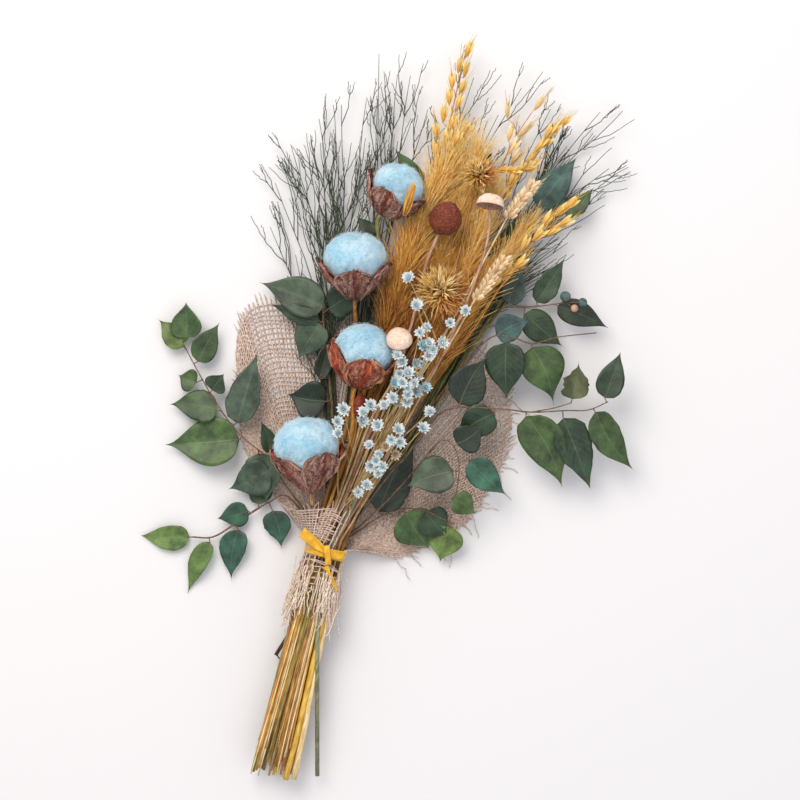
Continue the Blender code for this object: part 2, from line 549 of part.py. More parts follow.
def band(name, material, parts):
    """The ribbon's turn round the gathered cloth, standing just clear of it."""
    loop = bmesh.new()
    circle = set(bmesh.ops.create_circle(loop, segments=40, radius=1.0)["verts"])
    bmesh.ops.extrude_edge_only(loop, edges=loop.edges[:])
    for vert in loop.verts:
        side = 1 if vert in circle else -1
        u, z = ring(math.atan2(vert.co.x, -vert.co.y), BAND_GAP)
        vert.co = place((u, side * RIBBON_WIDTH / 2, z))
    bmesh.ops.recalc_face_normals(loop, faces=loop.faces)
    mesh = bpy.data.meshes.new(name)
    loop.to_mesh(mesh)
    loop.free()
    piece = add(name, mesh, material, parts)
    wall = piece.modifiers.new("ribbon", "SOLIDIFY")
    wall.thickness = RIBBON * MM
    wall.offset = 0.0
    return piece


def build():
    for thing in list(bpy.data.objects):
        bpy.data.objects.remove(thing, do_unlink=True)
    parts = bpy.data.collections.new("cotton_stem_bunch")
    helpers = bpy.data.collections.new("limbs")
    for collection in (parts, helpers):
        bpy.context.scene.collection.children.link(collection)

    bark = finish("dry_stem", (0.22, 0.14, 0.07), 0.8)
    lint = finish("cotton_lint", (0.55, 0.75, 0.85), 0.95)
    burr = finish("cotton_burr", (0.16, 0.06, 0.04), 0.8)
    straw = finish("gold_straw", (0.55, 0.30, 0.06), 0.8)
    cream = finish("cream_ear", (0.70, 0.52, 0.32), 0.85)
    petals = finish("blue_star", (0.38, 0.52, 0.58), 0.85)
    foliage = finish("eucalyptus_leaf", (0.06, 0.11, 0.06), 0.5)
    wiry = finish("green_broom", (0.07, 0.10, 0.05), 0.7)
    fungus = finish("fungus_cap", (0.66, 0.50, 0.38), 0.8)
    husk = finish("seed_husk", (0.25, 0.10, 0.04), 0.8)
    jute = finish("burlap", (0.55, 0.40, 0.31), 0.95)
    satin = finish("yellow_ribbon", (0.75, 0.48, 0.05), 0.4)

    for name, (centre, radius, base, tie_slot, way) in COTTON.items():
        toward = (Vector(centre) - Vector(base)).normalized()
        seat = Vector(base) - toward * 2 * GAP
        path = stem_path(tie_slot, [*way, seat - toward * 9, seat])
        add(f"{name}_stem", tube_curve(name, path, even(path, COTTON_STEM)), bark, parts)
        cup(f"{name}_burr", centre, radius, base, burr, parts)
        ball(f"{name}_lint", centre, radius, lint, parts)
    for name, (heads, tie_slot) in STARS.items():
        star_spray(name, heads, tie_slot, petals, parts, helpers)
    for name, (tie_slot, way, radius, head) in [*PLUMES.items(), *OATS.items()]:
        lower = [(*point, radius) for point in through_the_tie(tie_slot)]
        upper = smooth([lower[-1], *[(*point, radius) for point in way], *head], 2)
        path = [*[Vector(point) for point in lower[:-1]], *upper]
        material = cream if name.startswith("wheat") else husk if name == "seed_pod" else straw
        add(name, tube_curve(name, path, [max(HAIR, p[3]) for p in path]), material, parts)
    for name, (tie_slot, way, centre, radius, axis) in SPIKY.items():
        head = Vector(centre) - Vector(axis).normalized() * radius * 0.3
        path = stem_path(tie_slot, [*way, head - Vector(axis) * 10, head])
        flower = ball("spiky_head", centre, radius, straw, helpers, 0.45, axis)
        mesh = flower.data
        bpy.data.objects.remove(flower)
        joined(name, limb(path, even(path, STEM), "round"), [mesh], straw, parts, helpers)
    for name, (tie_slot, way, seat, radius, height, axis) in CAPS.items():
        path = stem_path(tie_slot, [*way, seat])
        add(f"{name}_stick", tube_curve(name, path, even(path, 1.0)), cream, parts)
        dome(name, seat, radius, height, axis, fungus, parts)
    for name, (tie_slot, way, seat, radius) in GLOBE.items():
        path = stem_path(tie_slot, [*way, seat])
        toward = Vector(path[-1] - path[-2]).normalized()
        add(f"{name}_stem", tube_curve(name, path, even(path, STEM)), husk, parts)
        ball(name, Vector(seat) + toward * (radius + GAP), radius, husk, parts)
    for name, (tie_slot, twig, side_twigs, leaves) in BRANCHES.items():
        leaf_branch(name, tie_slot, twig, side_twigs, leaves, foliage, parts, helpers)
    for name, (tie_slot, way, tips) in BROOMS.items():
        broom(name, tie_slot, way, tips, wiry, parts, helpers)
    burlap(jute, parts)
    band("ribbon_band", satin, parts)
    strip("ribbon_bow", smooth(BOW, 4), (0, RIBBON_WIDTH, 0), satin, parts)
    strip("ribbon_tail", smooth(TAIL, 4), TAIL_ACROSS, satin, parts)


build()
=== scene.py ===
import math
import random

import bmesh
import bpy
from mathutils import Matrix, Vector, noise


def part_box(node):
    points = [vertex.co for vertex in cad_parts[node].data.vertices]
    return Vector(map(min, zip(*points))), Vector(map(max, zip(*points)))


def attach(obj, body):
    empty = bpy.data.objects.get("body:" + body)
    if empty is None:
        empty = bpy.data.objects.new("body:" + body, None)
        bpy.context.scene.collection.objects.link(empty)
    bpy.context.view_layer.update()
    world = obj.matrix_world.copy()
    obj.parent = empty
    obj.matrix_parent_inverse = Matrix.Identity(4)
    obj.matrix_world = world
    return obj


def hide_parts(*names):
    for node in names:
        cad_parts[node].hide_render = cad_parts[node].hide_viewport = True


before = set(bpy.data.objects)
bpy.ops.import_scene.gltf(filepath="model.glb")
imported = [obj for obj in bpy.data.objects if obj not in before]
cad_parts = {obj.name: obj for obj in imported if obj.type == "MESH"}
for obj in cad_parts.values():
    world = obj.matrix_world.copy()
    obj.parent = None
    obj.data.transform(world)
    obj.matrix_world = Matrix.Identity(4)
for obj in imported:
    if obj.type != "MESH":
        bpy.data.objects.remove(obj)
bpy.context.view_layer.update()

# Lengths are in millimetres from the tie until at() turns them into the frame's metres:
# u across the bunch, v along it towards the heads, z up from the table.
mm = 0.001
bandLow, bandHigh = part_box("ribbon_band")
tie = Vector(((bandLow[0] + bandHigh[0]) / 2, (bandLow[1] + bandHigh[1]) / 2, 0.0))


def at(point):
    return tie + Vector(point[:3]) * mm


def fromTie(place):
    return (Vector(place) - tie) / mm


def smoothPath(points, steps):
    ends = [Vector(p) for p in points]
    ends = [ends[0] * 2 - ends[1], *ends, ends[-1] * 2 - ends[-2]]
    path = []
    for a, b, c, d in zip(ends, ends[1:], ends[2:], ends[3:]):
        for step in range(steps):
            t = step / steps
            path.append(0.5 * (2 * b + (c - a) * t + (2 * a - 5 * b + 4 * c - d) * t * t
                               + (3 * b - a - 3 * c + d) * t ** 3))
    path.append(ends[-2])
    return path


def alongPath(path, share):
    # the point at that share of the path's length, and the path's direction there
    lengths = [(b - a).length for a, b in zip(path, path[1:])]
    left = share * sum(lengths)
    for a, b, length in zip(path, path[1:], lengths):
        if left <= length or b is path[-1]:
            return a.lerp(b, min(1.0, left / max(length, 1e-6))), (b - a).normalized()
        left -= length


def sideways(direction):
    side = direction.cross(Vector((0, 0, 1)))
    side = side.normalized() if side.length > 1e-4 else Vector((1, 0, 0))
    return side, side.cross(direction).normalized()


def fibreMesh(name, strands, materials, corners=0):
    # strands are (points in mm, radii in mm, which material)
    curve = bpy.data.curves.new(name, "CURVE")
    curve.dimensions = "3D"
    curve.bevel_depth = mm
    curve.bevel_resolution = corners
    curve.use_fill_caps = True
    for material in materials:
        curve.materials.append(material)
    for points, radii, shade in strands:
        line = curve.splines.new("POLY")
        line.points.add(len(points) - 1)
        line.points.foreach_set("co", [c for p in points for c in (*at(p), 1.0)])
        line.points.foreach_set("radius", radii)
        line.material_index = shade
    holder = bpy.data.objects.new(name, curve)
    mesh = bpy.data.meshes.new_from_object(holder)
    bpy.data.objects.remove(holder)
    return mesh


def taper(count, thick, thin):
    return [thick + (thin - thick) * i / (count - 1) for i in range(count)]


def keepAbove(points, height):
    # nothing may sink into the table that the bunch lies on
    for point in points:
        point.z = max(height, point.z)
    return points


def shaken(rand, size):
    return Vector([rand.gauss(0, size) for _ in range(3)])


def meshFrom(shape, name, *materials):
    mesh = bpy.data.meshes.new(name)
    shape.to_mesh(mesh)
    shape.free()
    for material in materials:
        mesh.materials.append(material)
    return mesh


def bladeMesh(name, material, columns, rows, shape, thickness=0.0):
    # a grid shaped by shape(across from -1 to 1, along from 0 to 1), with its own map for veins and shading
    blade = bmesh.new()
    blade.loops.layers.uv.new("bladeMap")
    bmesh.ops.create_grid(blade, x_segments=columns, y_segments=rows, size=0.5, calc_uvs=True)
    for vert in blade.verts:
        vert.co = shape(2 * vert.co.x, vert.co.y + 0.5)
    if thickness:
        bmesh.ops.solidify(blade, geom=blade.faces[:], thickness=thickness * mm)
    bmesh.ops.recalc_face_normals(blade, faces=blade.faces)
    for face in blade.faces:
        face.smooth = True
    return meshFrom(blade, name, material)


def roundMesh(name, material, shape, detail=4):
    # a ball shaped by shape(unit direction)
    ball = bmesh.new()
    bmesh.ops.create_icosphere(ball, subdivisions=detail, radius=1.0)
    for vert in ball.verts:
        vert.co = shape(vert.co.normalized())
    for face in ball.faces:
        face.smooth = True
    return meshFrom(ball, name, material)


def moved(mesh, matrix):
    copy = mesh.copy()
    copy.transform(matrix)
    return copy


def addPiece(name, meshes, slotName, *replaced):
    # joins the meshes into one piece that rides the root body
    whole = bmesh.new()
    materials = []
    for mesh in meshes:
        done = len(whole.faces)
        whole.from_mesh(mesh)
        whole.faces.ensure_lookup_table()
        numbers = []
        for material in mesh.materials:
            if material not in materials:
                materials.append(material)
            numbers.append(materials.index(material))
        for face in whole.faces[done:]:
            face.material_index = numbers[face.material_index]
    bmesh.ops.remove_doubles(whole, verts=whole.verts, dist=1e-6)
    piece = bpy.data.objects.new(name + "_model", meshFrom(whole, name, *materials))
    bpy.context.scene.collection.objects.link(piece)
    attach(piece, "root")
    if replaced:
        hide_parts(*replaced)
    return piece


def linear(hexColour):
    channels = [int(hexColour[i:i + 2], 16) / 255 for i in (1, 3, 5)]
    return (*[c / 12.92 if c <= 0.04045 else ((c + 0.055) / 1.055) ** 2.4 for c in channels], 1.0)


def addNode(tree, kind, settings=None, links=None):
    node = tree.nodes.new(kind)
    for key, value in (settings or {}).items():
        if isinstance(key, str) and hasattr(node, key):
            setattr(node, key, value)
        else:
            node.inputs[key].default_value = value
    for key, source in (links or {}).items():
        tree.links.new(source, node.inputs[key])
    return node


def newFinish(name, roughness, **sockets):
    material = bpy.data.materials.new(name)
    material.use_nodes = True
    tree = material.node_tree
    shader = tree.nodes["Principled BSDF"]
    shader.inputs["Roughness"].default_value = roughness
    for socket, value in sockets.items():
        shader.inputs[socket.replace("_", " ")].default_value = value
    return material, tree, shader


def ownPlace(tree):
    return addNode(tree, "ShaderNodeTexCoord").outputs["Object"]


def bladePlace(tree):
    return addNode(tree, "ShaderNodeUVMap", {"uv_map": "bladeMap"}).outputs[0]


def bladeShare(tree, axis):
    # how far across ("X") or along ("Y") a blade
    return addNode(tree, "ShaderNodeSeparateXYZ", links={0: bladePlace(tree)}).outputs[axis]


def cloudy(tree, place, size, detail=2.0, **settings):
    # noise with blotches of that size
    return addNode(tree, "ShaderNodeTexNoise", {"Scale": 1 / size, "Detail": detail, **settings},
                   {"Vector": place}).outputs[0]


def worked(tree, operation, *terms):
    # a sum on numbers and sockets, in the order that the Math node takes them
    numbers = {i: term for i, term in enumerate(terms) if isinstance(term, float)}
    sockets = {i: term for i, term in enumerate(terms) if i not in numbers}
    return addNode(tree, "ShaderNodeMath", {"operation": operation, **numbers}, sockets).outputs[0]


def rising(tree, value, start, end, most):
    # 0 before the start, and up to the most at the end
    return addNode(tree, "ShaderNodeMapRange", {"From Min": start, "From Max": end, "To Max": most},
                   {"Value": value}).outputs[0]


def mixed(tree, share, first, second, blend="MIX"):
    # share and colours are sockets, or else a number and hex colours
    node = addNode(tree, "ShaderNodeMix", {"data_type": "RGBA", "blend_type": blend})
    for key, value in ((0, share), (6, first), (7, second)):
        if isinstance(value, bpy.types.NodeSocket):
            tree.links.new(value, node.inputs[key])
        else:
            node.inputs[key].default_value = linear(value) if isinstance(value, str) else value
    return node.outputs[2]


def colourSteps(tree, factor, stops):
    ramp = addNode(tree, "ShaderNodeValToRGB", links={0: factor})
    elements = ramp.color_ramp.elements
    while len(elements) < len(stops):
        elements.new(0.5)
    for element, (position, colour) in zip(elements, stops):
        element.position = position
        element.color = linear(colour)
    return ramp.outputs["Color"]


def paint(tree, shader, colour):
    tree.links.new(colour, shader.inputs["Base Color"])


def emboss(tree, shader, height, strength, depth):
    relief = addNode(tree, "ShaderNodeBump", {"Strength": strength, "Distance": depth * mm},
                     {"Height": height})
    tree.links.new(relief.outputs[0], shader.inputs["Normal"])


def dryStalk(name, dark, light, roughness=0.65, streak=6.0, bump=0.25):
    # dried plant stalk: dull, streaked along the bunch, with blotches a few millimetres long
    material, tree, shader = newFinish(name, roughness)
    drawn = addNode(tree, "ShaderNodeMapping", {"Scale": (1, 1 / streak, 1)}, {"Vector": ownPlace(tree)})
    blotch = cloudy(tree, drawn.outputs[0], 1.6 * mm, 3.0)
    paint(tree, shader, colourSteps(tree, blotch, [(0.32, dark), (0.68, light)]))
    emboss(tree, shader, blotch, bump, 0.3)
    return material


def bractFinish(name, stops, roughness=0.7):
    # papery bract or husk: the colour runs from its foot to its tip
    material, tree, shader = newFinish(name, roughness)
    uneven = worked(tree, "MULTIPLY_ADD", cloudy(tree, ownPlace(tree), 4 * mm), 0.5, -0.25)
    share = worked(tree, "ADD", bladeShare(tree, "Y"), uneven)
    paint(tree, shader, colourSteps(tree, share, stops))
    return material


def leafFinish():
    # preserved leaf: leathery, slightly waxy, a pale midrib, faint side veins and uneven green
    material, tree, shader = newFinish("preservedLeaf", 0.48)
    along = bladeShare(tree, "Y")
    tone = addNode(tree, "ShaderNodeAttribute", {"attribute_name": "leafColour"}).outputs["Color"]
    side = worked(tree, "ABSOLUTE", worked(tree, "SUBTRACT", bladeShare(tree, "X"), 0.5))
    # side veins leave the midrib every tenth of the blade and slant towards the tip
    slant = worked(tree, "MULTIPLY_ADD", side, -0.55, along)
    veins = rising(tree, worked(tree, "COSINE", worked(tree, "MULTIPLY", slant, 62.8)), 0.86, 1.0, 0.22)
    midrib = rising(tree, side, 0.02, 0.006, 0.7)
    lines = worked(tree, "MAXIMUM", veins, midrib)
    patch = cloudy(tree, ownPlace(tree), 11 * mm, 4.0, Roughness=0.6)
    shade = colourSteps(tree, patch, [(0.32, "#7f857c"), (0.5, "#c6c8bd"), (0.68, "#fffff0")])
    green = mixed(tree, 1.0, tone, shade, "MULTIPLY")
    veined = mixed(tree, worked(tree, "MULTIPLY", lines, 0.3), green, "#8d9a72")
    # the point of the blade has dried to brown
    paint(tree, shader, mixed(tree, rising(tree, along, 0.84, 1.0, 0.8), veined, "#544a36"))
    emboss(tree, shader, worked(tree, "MULTIPLY_ADD", lines, -1.0, patch), 0.35, 0.5)
    return material


def lintFinish(name, low, high, translucence):
    # dyed cotton lint: matt, soft at the edge, light scattered between the fibres
    material, tree, shader = newFinish(name, 0.95, Sheen_Weight=0.6, Sheen_Roughness=0.5,
                                       Subsurface_Weight=translucence, Subsurface_Scale=4 * mm,
                                       Specular_IOR_Level=0.15)
    place = ownPlace(tree)
    paint(tree, shader, colourSteps(tree, cloudy(tree, place, 16 * mm), [(0.3, low), (0.7, high)]))
    emboss(tree, shader, cloudy(tree, place, 1.2 * mm, 4.0, Distortion=1.0), 0.25, 0.4)
    return material


def burrFinish(name, tones, rim, seam):
    # dried boll husk: woody, wrinkled, pale along its edges, with painted shade dark in the wrinkles
    material, tree, shader = newFinish(name, 0.72)
    wrinkle = cloudy(tree, ownPlace(tree), 2.6 * mm, 5.0, Roughness=0.7, Distortion=1.8)
    # painted shade and painted light: the tones follow the wrinkles, darkest in their hollows and palest on
    # their crests
    colour = colourSteps(tree, wrinkle, list(zip((0.34, 0.45, 0.54, 0.66), tones)))
    # fibres run from the foot of each lobe to its rim
    drawn = addNode(tree, "ShaderNodeMapping", {"Scale": (11, 3.2, 1)}, {"Vector": bladePlace(tree)})
    fibre = cloudy(tree, drawn.outputs[0], 1.0, 3.0, Distortion=0.8)
    # painted light on the raised fibres in the pale rim colour, painted shade in the grooves between them
    litRidges = mixed(tree, rising(tree, fibre, 0.55, 0.66, 0.75), colour, rim)
    shadedGrooves = mixed(tree, rising(tree, fibre, 0.44, 0.32, 0.8), litRidges, tones[0])
    # down the middle of a lobe are a pale keel and, where it has split beside it, the inner wall's colour
    across = bladeShare(tree, "X")
    keel = colourSteps(tree, across, [(0.46, "#ffffff"), (0.5, rim), (0.54, seam), (0.78, "#ffffff")])
    opened = mixed(tree, 1.0, shadedGrooves, keel, "MULTIPLY")
    side = worked(tree, "ABSOLUTE", worked(tree, "SUBTRACT", across, 0.5))
    paint(tree, shader, mixed(tree, rising(tree, side, 0.43, 0.5, 0.75), opened, rim))
    emboss(tree, shader, worked(tree, "MULTIPLY_ADD", fibre, 1.6, wrinkle), 0.9, 1.0)
    return material


def speckled(name, dark, light, grain, roughness, bump=0.5):
    # dull natural skin with speckles of one size, in millimetres
    material, tree, shader = newFinish(name, roughness)
    speck = cloudy(tree, ownPlace(tree), grain * mm, 4.0, Roughness=0.6)
    paint(tree, shader, colourSteps(tree, speck, [(0.33, dark), (0.66, light)]))
    emboss(tree, shader, speck, bump, 0.4)
    return material


def ribbonFinish():
    # satin ribbon: woven polyester with a soft streaked gloss along its length
    material, tree, shader = newFinish("satinRibbon", 0.42, Sheen_Weight=0.3, Sheen_Roughness=0.4)
    # painted light and shade of small folds: the yellow runs lighter and darker in patches
    fold = cloudy(tree, ownPlace(tree), 5 * mm)
    paint(tree, shader, colourSteps(tree, fold, [(0.3, "#c98f0c"), (0.7, "#efbb22")]))
    ribs = worked(tree, "SINE", worked(tree, "MULTIPLY", bladeShare(tree, "X"), 160.0))
    emboss(tree, shader, ribs, 0.12, 0.2)
    return material


bark = dryStalk("cottonBark", "#755530", "#bf9a64")
straws = [dryStalk("brownStraw", "#74491f", "#bb8340"), dryStalk("goldStraw", "#a4691f", "#dea44c"),
          dryStalk("oliveStraw", "#69642f", "#a99c58"), dryStalk("yellowStraw", "#b98a24", "#ecc45a", 0.5),
          dryStalk("creamStraw", "#c9a565", "#f0deb0", 0.5), dryStalk("darkStraw", "#2b1f16", "#5b4630")]
brownStraw, goldStraw, oliveStraw, yellowStraw, creamStraw, darkStraw = range(6)
creamStem = dryStalk("creamStem", "#b08f5e", "#e0c89a")
greyStem = dryStalk("greyGreenStem", "#5d6149", "#989a78")
plumeShades = [dryStalk("rustPlume", "#8a4715", "#c57f38", 0.6),
               dryStalk("amberPlume", "#b87430", "#e8ab58", 0.6),
               dryStalk("goldPlume", "#d69a3a", "#f5c766", 0.6),
               dryStalk("paleGoldPlume", "#e8bd5e", "#fde8ac", 0.6)]
oatGold = bractFinish("oatHusk", [(0.0, "#b07a2a"), (0.5, "#d6a646"), (1.0, "#f0dc94")], 0.55)
oatPale = bractFinish("paleOatHusk", [(0.0, "#cf9c55"), (0.5, "#e8c78f"), (1.0, "#f7e6c4")], 0.55)
creamHusk = bractFinish("creamEar", [(0.0, "#b58a5c"), (0.5, "#dcbb8d"), (1.0, "#f3dfc2")], 0.6)
bractRust = bractFinish("rustBract", [(0.0, "#7a3a18"), (0.5, "#b56a30"), (1.0, "#d99f55")])
bractGold = bractFinish("goldBract", [(0.0, "#9a6422"), (0.5, "#c9973f"), (1.0, "#eccd84")])
bractCream = bractFinish("creamBract", [(0.0, "#b98a3e"), (0.5, "#e5c883"), (1.0, "#f7e8bd")])
starPetal = bractFinish("starPetal", [(0.0, "#6b8794"), (0.33, "#aec5cd"), (0.75, "#e4ebec")], 0.75)
starDeep = bractFinish("deepStarPetal", [(0.0, "#557f93"), (0.4, "#98c1ce"), (0.9, "#d0e6ea")], 0.75)
starFaded = bractFinish("fadedStarPetal", [(0.0, "#6f5238"), (0.5, "#b89d7e"), (1.0, "#e9dcc6")], 0.75)
starHeart = speckled("starHeart", "#41606e", "#9db8c2", 0.7, 0.8)
berrySkin = speckled("seedCapsule", "#2d4241", "#5a7270", 2.0, 0.6)
starStem = dryStalk("starStem", "#96774a", "#cdb383")
leafSkin = leafFinish()
twigSkin = dryStalk("twigBark", "#4a352a", "#86674f")
broomSkin = dryStalk("broomTwig", "#1f2a1b", "#47543a")
# the same dyed lint twice: painted shade makes the body darker, painted light makes the fibres on it paler
shadedLintBody = lintFinish("dyedLintPaintedShade", "#94c4da", "#bfdbe9", 0.2)
litLintFibre = lintFinish("litLintFibre", "#add2e3", "#d6e9f2", 0.0)
burrSkins = {"brown": burrFinish("driedBurr", ("#331512", "#6e4034", "#a0705f", "#dcb7a6"), "#cfa593",
                                 "#c98a78"),
             "red": burrFinish("redBurr", ("#3c140d", "#833d2c", "#ad5f44", "#d8a189"), "#d39b74", "#ff8a50")}
burrLining = speckled("burrLining", "#5e1f10", "#a8492a", 2.0, 0.6)
capSkin = speckled("fungusTop", "#d6b49c", "#f1dac9", 2.2, 0.8, 0.3)
capUnder = speckled("fungusUnderside", "#6b4640", "#b88f7c", 1.5, 0.85)
globeSkin = speckled("seedHusk", "#3c120a", "#8f4326", 1.6, 0.8, 1.4)
podSkin = speckled("podHusk", "#5c130c", "#9c3a22", 1.5, 0.6)
globeStemSkin = dryStalk("pinkStem", "#9a6e58", "#cba38c")
jute = dryStalk("juteYarn", "#a68877", "#dfc9ba", 0.9, 1.0, 0.6)
satin = ribbonFinish()
print("materials made")

# how the stems stand in the tie, in rows from the table up and columns from its middle, and run on down to
# their cut ends
bundle = {"rowHeight": 3.2, "columnWidth": 3.4, "lowestRow": 4.9, "footShift": 3.6, "spread": 1.2,
          "drop": 1.5, "length": 180.0, "shortest": 22.0, "bendAt": -72.0, "stem": 1.3, "cottonStem": 1.7}


def inTie(place):
    row, column = place
    return column * bundle["columnWidth"], bundle["lowestRow"] + row * bundle["rowHeight"]


def lowerRun(place, ownEnd=None):
    row, column = place
    u, z = inTie(place)
    shortening = bundle["shortest"] * ((row * 0.37 + column * 0.618) % 1.0)
    cutEnd = (bundle["footShift"] + bundle["spread"] * u, shortening - bundle["length"], z - bundle["drop"])
    middle = (0.45 * cutEnd[0] + 0.55 * u, bundle["bendAt"], z - 0.45 * bundle["drop"])
    return [Vector(p) for p in [*(ownEnd or [cutEnd, middle]), (u, -16, z), (u, 12, z)]]


def stemPath(place, way, ownEnd=None, steps=2):
    lower = lowerRun(place, ownEnd)
    return [*lower[:-1], *smoothPath([lower[-1], *way], steps)]


def woodyRadii(path, thick, thin, rand, knots=0.12):
    return [r * (1 + rand.uniform(-knots, knots)) for r in taper(len(path), thick, thin)]


def stalkBundle(path, count, reach, thick, shades, rand, stop=1.0):
    # thin stalks that keep beside a path, each a little farther out towards the heads
    strands = []
    for number in range(count):
        angle = rand.uniform(0, 2 * math.pi)
        far = reach * math.sqrt(rand.uniform(0.1, 1.0))
        end = rand.uniform(0.75, 1.0) * stop
        start = rand.uniform(0.0, 0.06)
        points = []
        for step in range(13):
            share = start + (end - start) * step / 12
            centre, direction = alongPath(path, share)
            side, up = sideways(direction)
            spread = far * (0.55 + 0.9 * share)
            turn = angle + share * rand.uniform(0.2, 0.9)
            points.append(centre + side * spread * math.cos(turn) + up * spread * math.sin(turn) * 0.7)
        strands.append((keepAbove(points, thick + 0.2), taper(13, thick, thick * 0.6), rand.choice(shades)))
    return strands


# each cotton boll: where its burr sits, its stem's place in the tie and way up, how many degrees round the
# ball the burr's lobes reach, how much the front of the lint is flattened, and how far one lobe is rolled
cotton = {
    "cotton_1": {"base": (-24, 262, 34), "place": (3, -3.4), "rim": 92, "squash": 0.14, "husk": "brown",
                 "roll": -0.1, "way": [(-7, 60, 13.6), (-6, 110, 13.4), (-7, 160, 13), (-9, 210, 17)]},
    "cotton_2": {"base": (-28, 194, 33), "place": (4, -3.2), "rim": 88, "squash": 0.24, "husk": "brown",
                 "roll": 0.0, "way": [(-9.5, 60, 16.8), (-10, 110, 16.8), (-17, 158, 16)]},
    "cotton_3": {"base": (-10, 129, 36), "place": (5, -2.6), "rim": 98, "squash": 0.06, "husk": "red",
                 "roll": 0.25, "way": [(-5, 50, 21), (-4, 95, 25)]},
    "cotton_4": {"base": (-22, 43, 37), "place": (6.2, -2.1), "rim": 86, "squash": 0.1, "husk": "brown",
                 "roll": 0.5, "way": [(-9, 18, 26), (-14, 30, 28)]},
}
boll = {"lobes": 5, "gap": 0.4, "wall": 1.3, "neck": math.radians(26), "wrinkle": 2.1, "keel": 1.1,
        "edge": 1.9, "curl": 2.4, "lining": 0.4, "fibres": 2600, "fibreLength": 8.0, "fibre": 0.09}


def ballOf(box, base):
    # centre and radius of the ball that fills a node's box, and the way that it points from its base
    low, high = box
    centre = fromTie((Vector(low) + Vector(high)) / 2)
    radius = (high[0] - low[0]) / 2 / mm
    axis = (centre - Vector(base)).normalized()
    return centre, radius, axis


def lintMeshes(name, centre, radius, axis, squash, rand):
    offset = Vector([rand.uniform(0, 50) for _ in range(3)])

    def lumpy(direction):
        # three or four locks of lint that bulge over the husk, with soft folds between them
        locks = noise.noise(direction * 1.5 + offset)
        folds = 1 - abs(noise.noise(direction * 1.9 + offset * 2))
        fluff = noise.noise(direction * 6 + offset) * 0.35 + noise.noise(direction * 15 + offset) * 0.12
        front = max(0.0, direction.dot(axis))
        far = radius * (0.98 + 0.06 * locks - 0.05 * folds ** 14 - squash * front * front) + fluff
        return at(centre + direction * far)

    body = roundMesh(name, shadedLintBody, lumpy, detail=5)
    strands = []
    for number in range(boll["fibres"]):
        direction = shaken(rand, 1).normalized()
        if direction.dot(axis) < -0.25:
            continue
        spin = shaken(rand, 1)
        spin = (spin - direction * spin.dot(direction)).normalized()
        step = boll["fibreLength"] * rand.uniform(0.5, 1.3) / 5 / radius
        rise = 0.35 if rand.random() < 0.75 else rand.uniform(0.6, 1.3)
        points = []
        for hop in range(6):
            surface = fromTie(lumpy(direction))
            points.append(surface + direction * (rise * hop / 2.5 - 0.15))
            spin = (spin + shaken(rand, 0.28)).normalized()
            direction = (direction + spin * step).normalized()
        strands.append((points, taper(6, boll["fibre"], 0.05), 0))
    return [body, fibreMesh(name, strands, [litLintFibre])]


def burrMeshes(name, centre, radius, axis, facts, rand):
    turn = axis.to_track_quat("Z", "Y").to_matrix()
    reach = (centre - Vector(facts["base"])).length
    skin = radius + boll["gap"] + boll["wall"]
    front = (Vector((0, 0, 1)) - axis * axis.z).normalized()
    toward = turn.transposed() @ (front * math.cos(facts["roll"]) + axis.cross(front)
                                  * math.sin(facts["roll"]))
    twist = math.atan2(toward.y, toward.x)
    meshes = []
    for lobe in range(boll["lobes"]):
        middle = twist + lobe * 2 * math.pi / boll["lobes"] + rand.uniform(-0.08, 0.08)
        tip = math.radians(facts["rim"] * rand.uniform(0.9, 1.1))
        flare = rand.uniform(0.6, 1.2)
        grain = Vector((rand.uniform(0, 50), rand.uniform(0, 50), lobe))

        def husk(across, along, lift):
            # lobes overlap into a cup and end in ragged rounded points; their rims curl outwards
            half = math.pi / boll["lobes"] * (1.1 - 0.75 * (max(0.0, along - 0.66) / 0.34) ** 2.2)
            half *= 1 + 0.07 * math.sin(along * 23 + lobe) * along
            notch = noise.noise(Vector((across * 4.5, lobe, 7)) + grain) + 0.5 * across * across
            along *= 1 - 0.09 * along * notch
            around = middle + across * half
            polar = 0.06 + along * (tip - 0.06)
            far = skin + (reach - skin) * math.exp(-(polar / boll["neck"]) ** 2)
            crease = noise.noise(Vector((across * 4.4, along * 2.2, 0)) + grain)
            fine = noise.noise(Vector((across * 11, along * 8, 3)) + grain)
            buckle = boll["wrinkle"] * ((1 - abs(crease) * 2.6) * 0.8 + fine * 0.85)
            buckle *= 0.4 + 0.6 * min(1.0, along * 2)
            keel = boll["keel"] * (1 - min(1.0, abs(across) * 6)) * along
            edge = boll["edge"] * flare * abs(across) ** 5 * min(1.0, along * 2)
            frill = 1 + 0.8 * noise.noise(Vector((across * 7, 2, lobe)) + grain)
            curl = boll["curl"] * flare * frill * (max(0.0, along - 0.74) / 0.26) ** 2
            far += max(-0.5, buckle) + keel + edge + curl + lift
            flat = far * math.sin(polar)
            return centre + turn @ Vector((flat * math.cos(around), flat * math.sin(around),
                                           -far * math.cos(polar)))

        meshes.append(bladeMesh(name, burrSkins[facts["husk"]], 30, 30, lambda a, t: at(husk(a, t, 0.0)),
                                boll["wall"]))
        meshes.append(bladeMesh(name, burrLining, 10, 14, lambda a, t: at(husk(a * 0.97, t * 0.98, -1.9)),
                                boll["lining"]))
    return meshes


